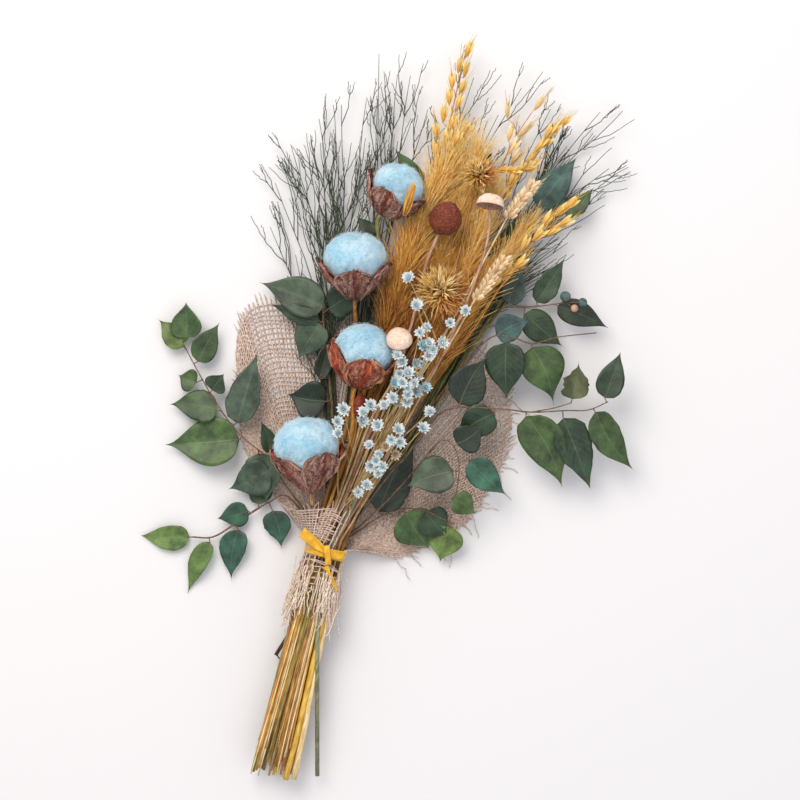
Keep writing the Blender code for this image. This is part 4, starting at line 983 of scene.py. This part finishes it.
# each leaf: where the blade starts, its tip, its width, how far it is turned on its midrib, its colour
branches = {
    "leaf_branch_left_upper": {
        "place": (1, -2),
        "twig": [(-16, 20, 10), (-42, 40, 12), (-62, 58, 13), (-88, 70, 13), (-113, 90, 12), (-135, 112, 10),
                 (-150, 128, 8)], "sides": [],
        "leaves": [((-146, 122, 9), (-174, 141, 6), 20, 12, "fresh"),
                   ((-148, 131, 9), (-155, 158, 12), 25, -10, "moss"),
                   ((-134, 116, 11), (-125, 150, 13), 20, 10, "moss"),
                   ((-131, 100, 10), (-147, 102, 7), 18, 0, "moss"),
                   ((-117, 95, 13), (-112, 112, 16), 18, -8, "deep"),
                   ((-107, 82, 12), (-149, 78, 8), 26, 10, "moss"),
                   ((-92, 78, 15), (-92, 136, 17), 27, -12, "grey"),
                   ((-87, 66, 11), (-145, 46, 6), 38, 8, "moss"),
                   ((-58, 50, 14), (-86, 26, 10), 28, -6, "grey"),
                   ((-61, 62, 15), (-76, 86, 17), 12, 10, "deep"),
                   ((-70, 62, 15), (-54, 24, 13), 30, 6, "grey")]},
    "leaf_branch_left_lower": {
        "place": (1, -3),
        "twig": [(-15, 16, 7.5), (-40, 33, 7), (-52, 25, 7), (-62, 15, 7), (-75, 0, 7), (-88, -13, 6),
                 (-103, -17, 5)], "sides": [],
        "leaves": [((-48, 19, 8), (-34, -8, 7), 22, 8, "teal"), ((-66, 14, 9), (-88, 2, 9), 20, -14, "teal"),
                   ((-70, -2, 8), (-65, -42, 5), 22, 10, "teal"),
                   ((-104, -18, 6), (-143, -27, 4), 20, -6, "fresh"),
                   ((-89, -17, 7), (-96, -61, 4), 16, 10, "fresh"),
                   ((-60, 19, 7.5), (-66, 48, 5), 18, -6, "deep")]},
    "leaf_branch_left_inner": {
        "place": (1, -1), "twig": [(-9, 55, 7.5), (-24, 110, 11), (-40, 150, 13), (-50, 178, 13)],
        "sides": [],
        "leaves": [((-50, 182, 14), (-104, 188, 12), 30, 8, "grey"),
                   ((-49, 170, 15), (-93, 173, 15), 16, -10, "deep"),
                   ((-49, 172, 12), (-60, 137, 9), 27, 8, "grey"),
                   ((-30, 112, 12), (-62, 110, 12), 31, -4, "night"),
                   ((-39, 128, 14), (-35, 168, 16), 14, 10, "night"),
                   ((-46, 182, 15), (-24, 200, 17), 26, 8, "deep")]},
    "leaf_branch_top": {
        "place": (1, 0), "twig": [(0, 60, 7.5), (0, 140, 8.5), (-4, 220, 10), (0, 285, 13)],
        "sides": [[(-4, 225, 10), (-16, 240, 11), (-25, 248, 12)],
                  [(-1, 270, 12), (20, 300, 13), (38, 316, 14)]],
        "leaves": [((-24, 247, 12), (-45, 258, 13), 11, 8, "deep"),
                   ((-1, 296, 14), (-30, 316, 16), 13, -8, "moss"),
                   ((36, 314, 14), (45, 332, 15), 10, 6, "night")]},
    "leaf_branch_right_top": {
        "place": (1, 1), "twig": [(12, 60, 7.5), (28, 140, 8.5), (50, 210, 10), (76, 262, 13), (89, 298, 15)],
        "sides": [[(76, 262, 13), (97, 280, 14), (112, 297, 15)]],
        "leaves": [((89, 298, 15), (110, 346, 17), 25, 10, "blue"),
                   ((99, 284, 14), (104, 334, 12), 10, -6, "night"),
                   ((70, 250, 13), (76, 290, 17), 15, 10, "deep"),
                   ((112, 297, 16), (128, 327, 17), 14, -8, "moss")]},
    "leaf_branch_right_upper": {
        "place": (1, 2),
        "twig": [(17, 60, 7.5), (37, 130, 9), (60, 185, 13), (80, 215, 17), (104, 223, 20), (130, 234, 23)],
        "sides": [],
        "leaves": [((108, 228, 20), (121, 269, 24), 19, 8, "deep"),
                   ((86, 220, 19), (93, 252, 22), 20, -10, "blue"),
                   ((121, 231, 22), (167, 223, 20), 20, 10, "night"),
                   ((101, 217, 20), (139, 200, 18), 24, -8, "deep")]},
    "leaf_branch_right_middle": {
        "place": (2, 3.5),
        "twig": [(23, 55, 14.5), (46, 120, 23), (75, 185, 28), (92, 197, 28), (112, 196, 28), (130, 206, 28),
                 (158, 217, 27)], "sides": [],
        "leaves": [((80, 195, 27), (108, 214, 30), 22, 8, "blue"),
                   ((93, 192, 28), (105, 148, 25), 31, 10, "deep"),
                   ((112, 194, 28), (141, 155, 25), 34, -8, "moss")]},
    "leaf_branch_right_outer": {
        "place": (3, 3.5),
        "twig": [(24, 50, 15.5), (46, 100, 24), (62, 130, 30), (100, 141, 33), (125, 145, 33), (150, 153, 32),
                 (167, 158, 32), (180, 168, 32)],
        "sides": [[(125, 145, 33), (140, 152, 33), (153, 160, 34)]],
        "leaves": [((153, 160, 34), (150, 192, 37), 24, 10, "worn"),
                   ((177, 170, 32), (179, 207, 35), 21, -8, "deep"),
                   ((172, 158, 32), (215, 121, 26), 24, 10, "moss"),
                   ((150, 147, 31), (185, 100, 24), 29, -6, "deep"),
                   ((122, 141, 32), (164, 94, 25), 33, 8, "moss"),
                   ((68, 136, 32), (82, 179, 35), 30, 10, "night"),
                   ((98, 137, 31), (74, 112, 27), 26, -6, "deep")]},
    "leaf_branch_right_lower": {
        "place": (1, 3),
        "twig": [(20, 24, 11.5), (37, 52, 18), (52, 82, 26), (64, 106, 32), (76, 103, 33), (83, 88, 31),
                 (86, 70, 29)], "sides": [],
        "leaves": [((89, 97, 32), (124, 78, 27), 23, 8, "teal"), ((79, 86, 31), (46, 64, 31), 30, 10, "grey"),
                   ((84, 66, 30), (105, 58, 27), 19, -8, "moss"),
                   ((74, 104, 34), (92, 126, 36), 24, 8, "night")]},
    "leaf_branch_right_base": {
        "place": (0.3, 2.45), "twig": [(18, 18, 7.4), (36, 38, 9), (60, 50, 12), (89, 46, 12)], "sides": [],
        "leaves": [((32, 40, 8), (46, 104, 9), 32, 6, "night"), ((50, 45, 12), (79, 21, 8), 34, -8, "moss"),
                   ((89, 44, 13), (88, 13, 8), 28, 10, "fresh"),
                   ((64, 52, 14), (90, 34, 11), 26, -8, "deep")]},
}
leafColours = {"fresh": "#73924e", "moss": "#4b6939", "deep": "#2f4a31", "night": "#243628",
               "grey": "#465c4c",
               "blue": "#446466", "teal": "#3a6c5c", "worn": "#555c38"}
leafShape = {"columns": 10, "rows": 18, "thickness": 0.35, "fold": 0.16, "wave": 0.72, "stalk": 0.5}
capsules = [(128, 238, 4.2, berrySkin), (142, 237, 3.6, berrySkin), (137, 231, 3.0, globeStemSkin)]


def leafMeshes(name, root, base, tip, width, turn, colour, rand):
    root, base, tip = Vector(root), Vector(base), Vector(tip)
    if (base - root).length < 3:
        base = root + (tip - root).normalized() * 3
    along = tip - base
    long = along.length
    across = along.cross(Vector((0, 0, 1))).normalized()
    across.rotate(Matrix.Rotation(math.radians(turn), 3, along))
    up = across.cross(along).normalized()
    crook = rand.uniform(-0.07, 0.07) * long
    droop = rand.uniform(0.0, 0.09) * long
    fold = leafShape["fold"] * rand.uniform(0.3, 1.6)
    phase = rand.uniform(0, 6.28)
    drawn = rand.uniform(0.6, 1.9)
    ragged = 0.16 if colour == "worn" else rand.choice([0.0, 0.02, 0.03, 0.06])
    grain = Vector((rand.uniform(0, 40), rand.uniform(0, 40), 0))

    def blade(side, share):
        # widest a third of the way along, round at the foot, drawn out to a point
        half = width * 0.51 * math.sin(math.pi * share ** 0.62) ** (0.76 + drawn * share ** 2)
        half *= 1 + ragged * 2.2 * (noise.noise(grain + Vector((share * 9, side * 0.7, 0))) - 0.25)
        out = half * side
        bend = crook * math.sin(math.pi * share)
        ripple = math.sin(share * 9 + phase + (1.5 if side > 0 else 0))
        lift = fold * abs(out) - droop * share ** 2 + leafShape["wave"] * side ** 2 * ripple
        spot = base + along * share + across * (out + bend) + up * lift
        spot.z = max(spot.z, 0.6)
        return at(spot)

    mesh = bladeMesh(name, leafSkin, leafShape["columns"], leafShape["rows"], blade, leafShape["thickness"])
    own = linear(leafColours[colour])
    tone = rand.uniform(0.82, 1.22)
    warm = rand.uniform(0.93, 1.08)
    attribute = mesh.attributes.new("leafColour", "FLOAT_COLOR", "POINT")
    shaded = (own[0] * tone * warm, own[1] * tone, own[2] * tone / warm, 1)
    attribute.data.foreach_set("color", shaded * len(mesh.vertices))
    stalk = smoothPath([root, root.lerp(base, 0.6) + Vector((0, 0, 0.8)), base, base + along * 0.1], 3)
    return mesh, (stalk, taper(len(stalk), leafShape["stalk"], 0.3), 0)


def nearestOn(runs, point):
    places = [a.lerp(b, share) for run in runs for a, b in zip(run, run[1:]) for share in (0.15, 0.4, 0.65,
                                                                                           0.9)]
    return min(places, key=lambda p: (p[0] - point[0]) ** 2 + (p[1] - point[1]) ** 2)


for number, (name, facts) in enumerate(branches.items()):
    rand = random.Random(600 + number)
    trunk = stemPath(facts["place"], facts["twig"], steps=4)
    runs = [trunk[4:]]
    woody = woodyRadii(trunk, bundle["stem"], 0.6, rand, 0.1)
    strands = [(trunk, [radius * (1 if point.y < 20 else 0.66) for radius, point in zip(woody, trunk)], 0)]
    for side in facts["sides"]:
        twig = smoothPath([nearestOn(runs, side[0]), *side[1:]], 4)
        strands.append((twig, taper(len(twig), 0.5, 0.35), 0))
        runs.append(twig)
    meshes = []
    for base, tip, width, turn, colour in facts["leaves"]:
        blade, stalk = leafMeshes(name, nearestOn(runs, base), base, tip, width, turn, colour, rand)
        meshes.append(blade)
        strands.append(stalk)
    for u, v, size, skin in capsules if name == "leaf_branch_right_upper" else []:
        berry = Vector((u, v, 24))
        meshes.append(roundMesh(name, skin, lambda d: at(berry + d * size * (1 - 0.12 * max(0, d.z) ** 8)),
                                3))
        strands.append(([nearestOn(runs, berry), berry], [0.4, 0.4], 0))
    addPiece(name, [fibreMesh(name, strands, [twigSkin], 1), *meshes], "eucalyptus_leaf", name)
print("leafy branches made")

# each broom: its place in the tie, its way up and the tips of its main twigs, with how many twigs each bears
brooms = {
    "broom_left": {"place": (0, -1.5), "twigs": 9, "way": [(-16, 80, 4), (-40, 150, 5), (-58, 200, 5.5)],
                   "tips": [(-107, 232), (-112, 266), (-108, 298), (-92, 323), (-78, 338), (-60, 346),
                            (-70, 300), (-100, 282), (-86, 305)]},
    "broom_top_left": {"place": (0, -0.5), "twigs": 5, "way": [(-6, 80, 4), (-14, 160, 5), (-26, 240, 5.5)],
                       "tips": [(-52, 350), (-60, 384), (-42, 372), (-32, 374), (-12, 352), (-46, 310),
                                (-36, 340)]},
    "broom_top": {"place": (0, 0.5), "twigs": 5, "way": [(4, 80, 4), (12, 160, 5), (22, 270, 5.5)],
                  "tips": [(0, 332), (16, 385), (27, 352), (42, 362), (54, 387), (46, 330), (-6, 350)]},
    "broom_right": {"place": (0, 1.5), "twigs": 6,
                    "strip": [(18, 50, 6), (40, 92, 8), (57, 160, 10), (78, 222, 11), (94, 262, 10)],
                    "way": [(16, 80, 4), (38, 160, 5), (68, 228, 5.5)],
                    "tips": [(76, 222), (84, 240), (104, 258), (90, 246), (96, 262), (88, 262), (120, 280),
                             (100, 275), (96, 300), (124, 318), (92, 338), (110, 320), (80, 377), (136, 344),
                             (100, 352), (118, 385)]},
}
wiry = {"stem": 1.2, "hair": 0.5, "end": 0.22, "twigLength": (24, 75),
        "cutTwig": [(-2, -40, 14), (-6.8, -57, 12), (-11.5, -72, 10.5), (-16.5, -88.6, 9)],
        "shoot": [(-16, -88, 9), (-13, -90.5, 9), (-9, -93, 10)]}


def wiryHair(start, bend, tip, rand, strands, twigs, depth=0):
    hair = smoothPath([start, bend, tip], 5)
    crooked = [p + shaken(rand, 0.3) * (0 < i < len(hair) - 1) for i, p in enumerate(hair)]
    keepAbove(crooked, 0.8)
    thick = wiry["hair"] * (1.25, 0.85, 0.65)[depth]
    strands.append((crooked, taper(len(crooked), thick, wiry["end"]), 0))
    if depth == 2:
        return
    for number in range(twigs if depth == 0 else rand.choice([1, 2, 3])):
        share = rand.uniform(0.2, 0.93)
        root, direction = alongPath(crooked, share)
        side = sideways(direction)[0] * rand.choice([-1, 1])
        # a side twig stops about level with the tip of the one that bears it
        long = min(rand.uniform(*wiry["twigLength"]) * (1.0, 0.5)[depth],
                   (1.08 - share) * (tip - start).length)
        middle = root + (direction * 0.86 + side * 0.30) * long * 0.5
        end = root + (direction * 0.97 + side * 0.22) * long + Vector((0, 0, rand.uniform(-2, 4)))
        wiryHair(root, middle, end, rand, strands, twigs, depth + 1)


for number, (name, facts) in enumerate(brooms.items()):
    rand = random.Random(700 + number)
    trunk = stemPath(facts["place"], facts["way"], steps=4)
    strands = [(trunk, woodyRadii(trunk, wiry["stem"], 0.8, rand, 0.08), 1)]
    upper = trunk[-10:]
    for spot, (u, v) in enumerate(facts["tips"]):
        start = upper[min(9, spot * 9 // (len(facts["tips"]) - 1))]
        height = 5.0 + 1.5 * (spot % 3)
        bend = Vector((start[0] * 0.6 + u * 0.4, start[1] * 0.45 + v * 0.55, height))
        wiryHair(start, bend, Vector((u, v, height + 2)), rand, strands, facts["twigs"])
    strands += stalkBundle(trunk[5:], 16, 7.0, wiry["hair"], [0], rand)
    if "strip" in facts:  # a hank of twigs lies beside the gold heads
        strands += stalkBundle(smoothPath(facts["strip"], 4), 44, 5.5, wiry["hair"], [0, 0, 1], rand)
    if name == "broom_left":  # a dark cut twig with a side shoot stands out of the bundle below the tie
        strands.append((wiry["cutTwig"], taper(4, 1.1, 1.5), 2))
        strands.append((wiry["shoot"], taper(3, 0.6, 0.3), 2))
    broom = fibreMesh(name, strands, [broomSkin, straws[oliveStraw], straws[darkStraw]], 1)
    addPiece(name, [broom], "green_broom", name)
print("brooms made")

# the burlap, woven from single yarns
cloth = {"yarn": 1.25, "pitch": 3.6, "crimp": 0.45, "across": 15.2, "up": 15.6, "lift": 1.6, "shape": 3.0,
         "straight": 5.0, "skirt": 46.0, "flatFrom": 0.35, "lowest": 0.72, "wefts": 50, "skirtArcs": 16,
         "tangle": 170, "looseYarns": 26, "cut": (0.46, 0.24), "cutShare": 0.8}
# the cloth's edge above the tie by angle round the gathered ring: the back panel lies on the table and the
# left end comes over the stems as a short ruffle
clothEdge = [(-195, 12, 31, 35), (-165, 0, 36, 35.5), (-135, -16, 31, 34.5), (-112, -32, 25, 15),
             (-95, -46, 28, 2.8), (-80, -66, 46, 0.4), (-66, -84, 64, 0), (-52, -101, 108, 0),
             (-40, -110, 146, 0), (-30, -106, 172, 0), (-18, -62, 184, 0), (0, -4, 188, 0), (18, 46, 188, 0),
             (30, 82, 184, 0), (42, 108, 150, 0), (54, 117, 116, 0), (66, 111, 78, 0), (78, 100, 48, 0.2),
             (90, 76, 24, 0.8), (104, 56, 9, 2), (122, 32, 9, 17)]


def ringPoint(angle, grow=0.0):
    s, c = math.sin(angle), -math.cos(angle)
    u = math.copysign(abs(s) ** (2 / cloth["shape"]), s) * (cloth["across"] + grow)
    z = math.copysign(abs(c) ** (2 / cloth["shape"]), c) * (cloth["up"] + grow)
    return u, z + cloth["up"] + cloth["lift"]


edgeCurve = smoothPath([(math.radians(a), u, v, z) for a, u, v, z in clothEdge], 6)
edgeLengths = [0.0]
for a, b in zip(edgeCurve, edgeCurve[1:]):
    edgeLengths.append(edgeLengths[-1] + (Vector(b[1:3]) - Vector(a[1:3])).length)


def onEdge(share):
    # the cloth's edge by share of its whole length
    wanted = share * edgeLengths[-1]
    for spot in range(len(edgeCurve) - 1):
        if edgeLengths[spot + 1] >= wanted:
            part = (wanted - edgeLengths[spot]) / max(1e-6, edgeLengths[spot + 1] - edgeLengths[spot])
            return edgeCurve[spot].lerp(edgeCurve[spot + 1], min(1.0, part))
    return edgeCurve[-1]


def clothPoint(edge, share):
    # share runs from -1 at the skirt's end, through 0 at the tie, to 1 at the cloth's edge
    angle, edgeU, edgeV, edgeZ = edge
    u, z = ringPoint(angle)
    if share <= 0:
        length = cloth["skirt"] * (0.86 + 0.14 * math.cos(3 * angle))
        return Vector((u * (1 - 0.08 * share), (length - cloth["straight"]) * share - cloth["straight"], z))
    still = max(0.0, 1 - share / cloth["flatFrom"]) ** 1.6
    height = max(0.6, z * still + edgeZ * (1 - still) + 0.6)
    return Vector((u + (edgeU - u) * share, cloth["straight"] + (edgeV - cloth["straight"]) * share, height))


def weave():
    # warps run from the skirt to the cloth's edge, wefts across them, and loose arcs across the skirt
    rand = random.Random(800)
    warpCount = round(edgeLengths[-1] / cloth["pitch"])
    strands, fray = [], []
    for number in range(warpCount):
        edge = onEdge((number + 0.5) / warpCount)
        following = onEdge((number + 1.5) / warpCount)
        sign = 1 if number % 2 else -1
        stations = [s / 42 for s in range(43)]
        skirt = [-s / 10 for s in range(10, 0, -1)] if number % 3 == 0 else []
        jog = rand.uniform(-0.5, 0.5)
        points = []
        for step, share in enumerate([*skirt, *stations]):
            point = clothPoint(edge, share)
            wide = Vector((1, 0, 0)) if share < 0.3 else Vector((0, 0, 0))
            point += wide * jog * 0.6
            point.z += cloth["crimp"] * sign * (1 if step % 2 else -1)
            points.append(point + Vector((rand.gauss(0, 0.16), rand.gauss(0, 0.16), 0)))
        keepAbove(points, cloth["lowest"])
        radii = []
        for share in [*skirt, *stations]:  # yarns bunch up and thin out where the cloth is gathered
            room = (clothPoint(following, share) - clothPoint(edge, share)).length / cloth["pitch"]
            radii.append(cloth["yarn"] / 2 * rand.uniform(0.75, 1.15)
                         * (1 if share < 0 else min(1.0, 0.45 + room)))
        strands.append((points, radii, number % 2))
        if rand.random() < 0.75:  # the yarn's end frays out past the last weft
            out = (points[-1] - points[-4]).normalized()
            long = rand.uniform(1.5, 7.0)
            drift = Vector((rand.uniform(-1, 1), rand.uniform(-1, 1), rand.uniform(0, 0.4)))
            ends = [points[-1] + (out + drift * 0.5 * s) * long * s for s in (0, 0.35, 0.7, 1.0)]
            fray.append((keepAbove(ends, 0.6), taper(4, 0.5, 0.25), number % 2))
    wefts = cloth["wefts"]
    for number in range(wefts):
        share = (number + 0.6) / wefts * 0.985
        sign = 1 if number % 2 else -1
        points = []
        spots = warpCount if share > 0.3 else warpCount // 2
        skip = rand.uniform(0, 0.02)
        for spot in range(spots):
            edge = onEdge(skip + (1 - skip * 2) * (spot + 0.5) / spots)
            point = clothPoint(edge, share + 0.004 * math.sin(spot * 0.31 + number))
            point.z += cloth["crimp"] * sign * (1 if spot % 2 else -1)
            point.z = max(cloth["lowest"], point.z + rand.gauss(0, 0.1))
            # where the cloth is short only some of the wefts go on across it
            reach = (clothPoint(edge, 1.0) - clothPoint(edge, 0.0)).length / wefts
            goesOn = number % max(1, round(0.75 * cloth["pitch"] / reach)) == 0
            if goesOn:
                points.append(point)
            if len(points) > 2 and (spot == spots - 1 or not goesOn):
                strands.append((points, [cloth["yarn"] / 2 * rand.uniform(0.75, 1.1) for _ in points], 2))
            if not goesOn:
                points = []
    for number in range(cloth["skirtArcs"]):
        share = -0.12 - 0.86 * (number // 2) / 8
        middle = rand.uniform(-math.pi, math.pi)
        points = []
        for spot in range(36):
            angle = middle + rand.uniform(3.2, 4.4) * (spot / 35 - 0.5)
            point = clothPoint((angle, 0, 0, 0), share + 0.05 * math.sin(angle * 2 + number))
            point.x *= 1 + 0.02 * (1 if spot % 2 else -1)
            point.z += rand.gauss(0, 0.2)
            points.append(point)
        thick = cloth["yarn"] / 2 * rand.uniform(0.6, 0.95)
        strands.append((keepAbove(points, 0.8), [thick] * len(points), 2))
    return strands, fray


def fringe():
    # unravelled ends below the tie, in loops and loose hanks
    rand = random.Random(820)
    strands = []
    for number in range(cloth["tangle"]):
        angle = rand.uniform(1.0, 2 * math.pi - 1.0) if number % 4 else rand.uniform(-1, 1)
        start = clothPoint((angle, 0, 0, 0), -rand.uniform(0.15, 0.9))
        long = rand.uniform(14, 36)
        out = Vector((math.sin(angle), 0, -math.cos(angle)))
        wander = Vector((rand.uniform(-0.25, 0.35), 0, 0)) * long
        loop = rand.random() < 0.3
        points = []
        for step in range(9):
            t = step / 8
            down = math.sin(math.pi * t) if loop else t
            point = start + Vector((0, -long * down, 0)) + wander * t * t + out * (0.7 + 2.2
                                                                                   * math.sin(3.1 * t))
            point.x += rand.gauss(0, 0.35)
            points.append(point)
        strands.append((keepAbove(points, 0.8), taper(9, 0.5, 0.3), 3 if number % 3 else 1))
    for number in range(cloth["looseYarns"]):  # loose yarns round the right-hand panel's frayed edge
        edge = onEdge(rand.uniform(0.66, 0.97))
        start = clothPoint(edge, rand.uniform(0.8, 1.0))
        aim = Vector((rand.uniform(0.1, 1), rand.uniform(-1, 0.2), 0)).normalized()
        long = rand.uniform(10, 30)
        points = [start + aim * long * s / 6 + Vector((rand.gauss(0, 1.1), rand.gauss(0, 1.1), 0.6)) * (s / 6)
                  for s in range(7)]
        strands.append((keepAbove(points, 0.6), taper(7, 0.42, 0.28), number % 2))
    return strands


juteShades = [jute, dryStalk("paleJute", "#bb9f8e", "#ead9cb", 0.9, 1.0, 0.6),
              dryStalk("weftJute", "#ad9182", "#e2cdc0", 0.9, 1.0, 0.6),
              dryStalk("whiteJute", "#d2bba0", "#f7ecdc", 0.85, 1.0, 0.5)]
yarns, frayed = weave()
burlap = addPiece("burlap_wrap", [fibreMesh("burlap", yarns, juteShades, 0)], "burlap", "burlap_wrap")
loose = addPiece("burlap_fringe", [fibreMesh("fringe", [*fringe(), *frayed], juteShades, 0)], "burlap")
print("burlap woven")

ribbon = {"width": 8.0, "thick": 0.4, "gap": 0.9, "band": 7.2, "knotWide": 4.4, "tailWide": (5.2, 3.0),
          "bow": [(-21, 11, 35.2), (-12, 7, 36.2), (0, 2, 35.6), (8, 1, 35.6), (15, 2, 34.2)],
          "knot": [(0, 6, 36.5), (1.5, 2, 37.6), (3.5, -3, 37.2), (5, -8, 35.4)],
          "tail": [(3, -10, 33.8), (9, -16, 33.4), (16, -26, 30.5)]}


def ribbonMesh(name, path, acrossAt, widthAt, columns=6, ruck=0.5):
    rows = (len(path) - 1) * 3

    def shape(side, share):
        centre, direction = alongPath(path, share)
        across = acrossAt(share).normalized()
        half = widthAt(share) / 2
        lift = direction.cross(across).normalized() * ruck * (math.sin(side * 4 + share * 11) + 0.6 * side
                                                              * side)
        return at(centre + across * half * side + lift)
    return bladeMesh(name, satin, columns, rows, shape, ribbon["thick"])


def tiedPiece(name, mesh, *replaced):
    return addPiece(name, [mesh], "yellow_ribbon", *replaced)


ringSteps = [ringPoint(math.radians(a), ribbon["gap"]) for a in range(-180, 181, 9)]
bandPath = [Vector((u, 0, z)) for u, z in ringSteps]
band = tiedPiece("ribbon_band", ribbonMesh("band", bandPath, lambda s: Vector((0, 1, 0)),
                                           lambda s: ribbon["band"], 8, 0.25), "ribbon_band")
bow = tiedPiece("ribbon_bow", ribbonMesh(
    "bow", smoothPath(ribbon["bow"], 5), lambda s: Vector((0.35, 1, 0.1)),
    lambda s: ribbon["width"] * (1.0 - 0.42 * math.exp(-((s - 0.58) / 0.14) ** 2)), 10, 0.45), "ribbon_bow")
knot = tiedPiece("ribbon_knot", ribbonMesh("knot", smoothPath(ribbon["knot"], 4),
                                           lambda s: Vector((1, 0.35, 0)), lambda s: ribbon["knotWide"], 6,
                                           0.35))
tail = tiedPiece("ribbon_tail", ribbonMesh(
    "tail", smoothPath(ribbon["tail"], 6), lambda s: Vector((0.8, 0.6 - 0.5 * s, 0.9 * math.sin(s * 5))),
    lambda s: ribbon["tailWide"][0] + (ribbon["tailWide"][1] - ribbon["tailWide"][0]) * s, 6, 0.3),
                 "ribbon_tail")
print("ribbon tied")

# white paper on a table
paper = newFinish("whitePaper", 0.9, Base_Color=linear("#e4e3e5"))[0]
tableTop = bmesh.new()
bmesh.ops.create_grid(tableTop, x_segments=1, y_segments=1, size=3.0)
table = bpy.data.objects.new("table", meshFrom(tableTop, "table", paper))
table.location.z = -0.0004
bpy.context.scene.collection.objects.link(table)

world = bpy.data.worlds.new("studio")
bpy.context.scene.world = world
world.use_nodes = True
sky = world.node_tree.nodes["Background"]
sky.inputs["Color"].default_value = linear("#f6f5f7")
sky.inputs["Strength"].default_value = 0.75
lamps = {"window": {"from": (-0.75, 0.85, 1.5), "size": 1.2, "power": 27, "colour": "#fff8ee"},
         "fill": {"from": (0.9, -0.6, 1.8), "size": 1.6, "power": 6, "colour": "#eef2ff"}}
lookAt = at((25.5, 128, 25))  # the middle of the bunch
for name, facts in lamps.items():
    light = bpy.data.lights.new(name, "AREA")
    light.size = facts["size"]
    light.energy = facts["power"]
    light.color = linear(facts["colour"])[:3]
    lamp = bpy.data.objects.new(name, light)
    lamp.location = Vector(facts["from"])
    lamp.rotation_euler = (lookAt - lamp.location).to_track_quat("-Z", "Y").to_euler()
    bpy.context.scene.collection.objects.link(lamp)

eye = {"height": 1.6, "wide": 0.616, "roll": math.radians(15)}
lens = bpy.data.cameras.new("camera")
lens.angle = 2 * math.atan(eye["wide"] / 2 / eye["height"])
camera = bpy.data.objects.new("camera", lens)
camera.location = lookAt + Vector((0, 0, eye["height"]))
camera.rotation_euler = (0, 0, eye["roll"])
bpy.context.scene.collection.objects.link(camera)
bpy.context.scene.camera = camera
bpy.context.scene.view_settings.view_transform = "Standard"

print("scene ready")
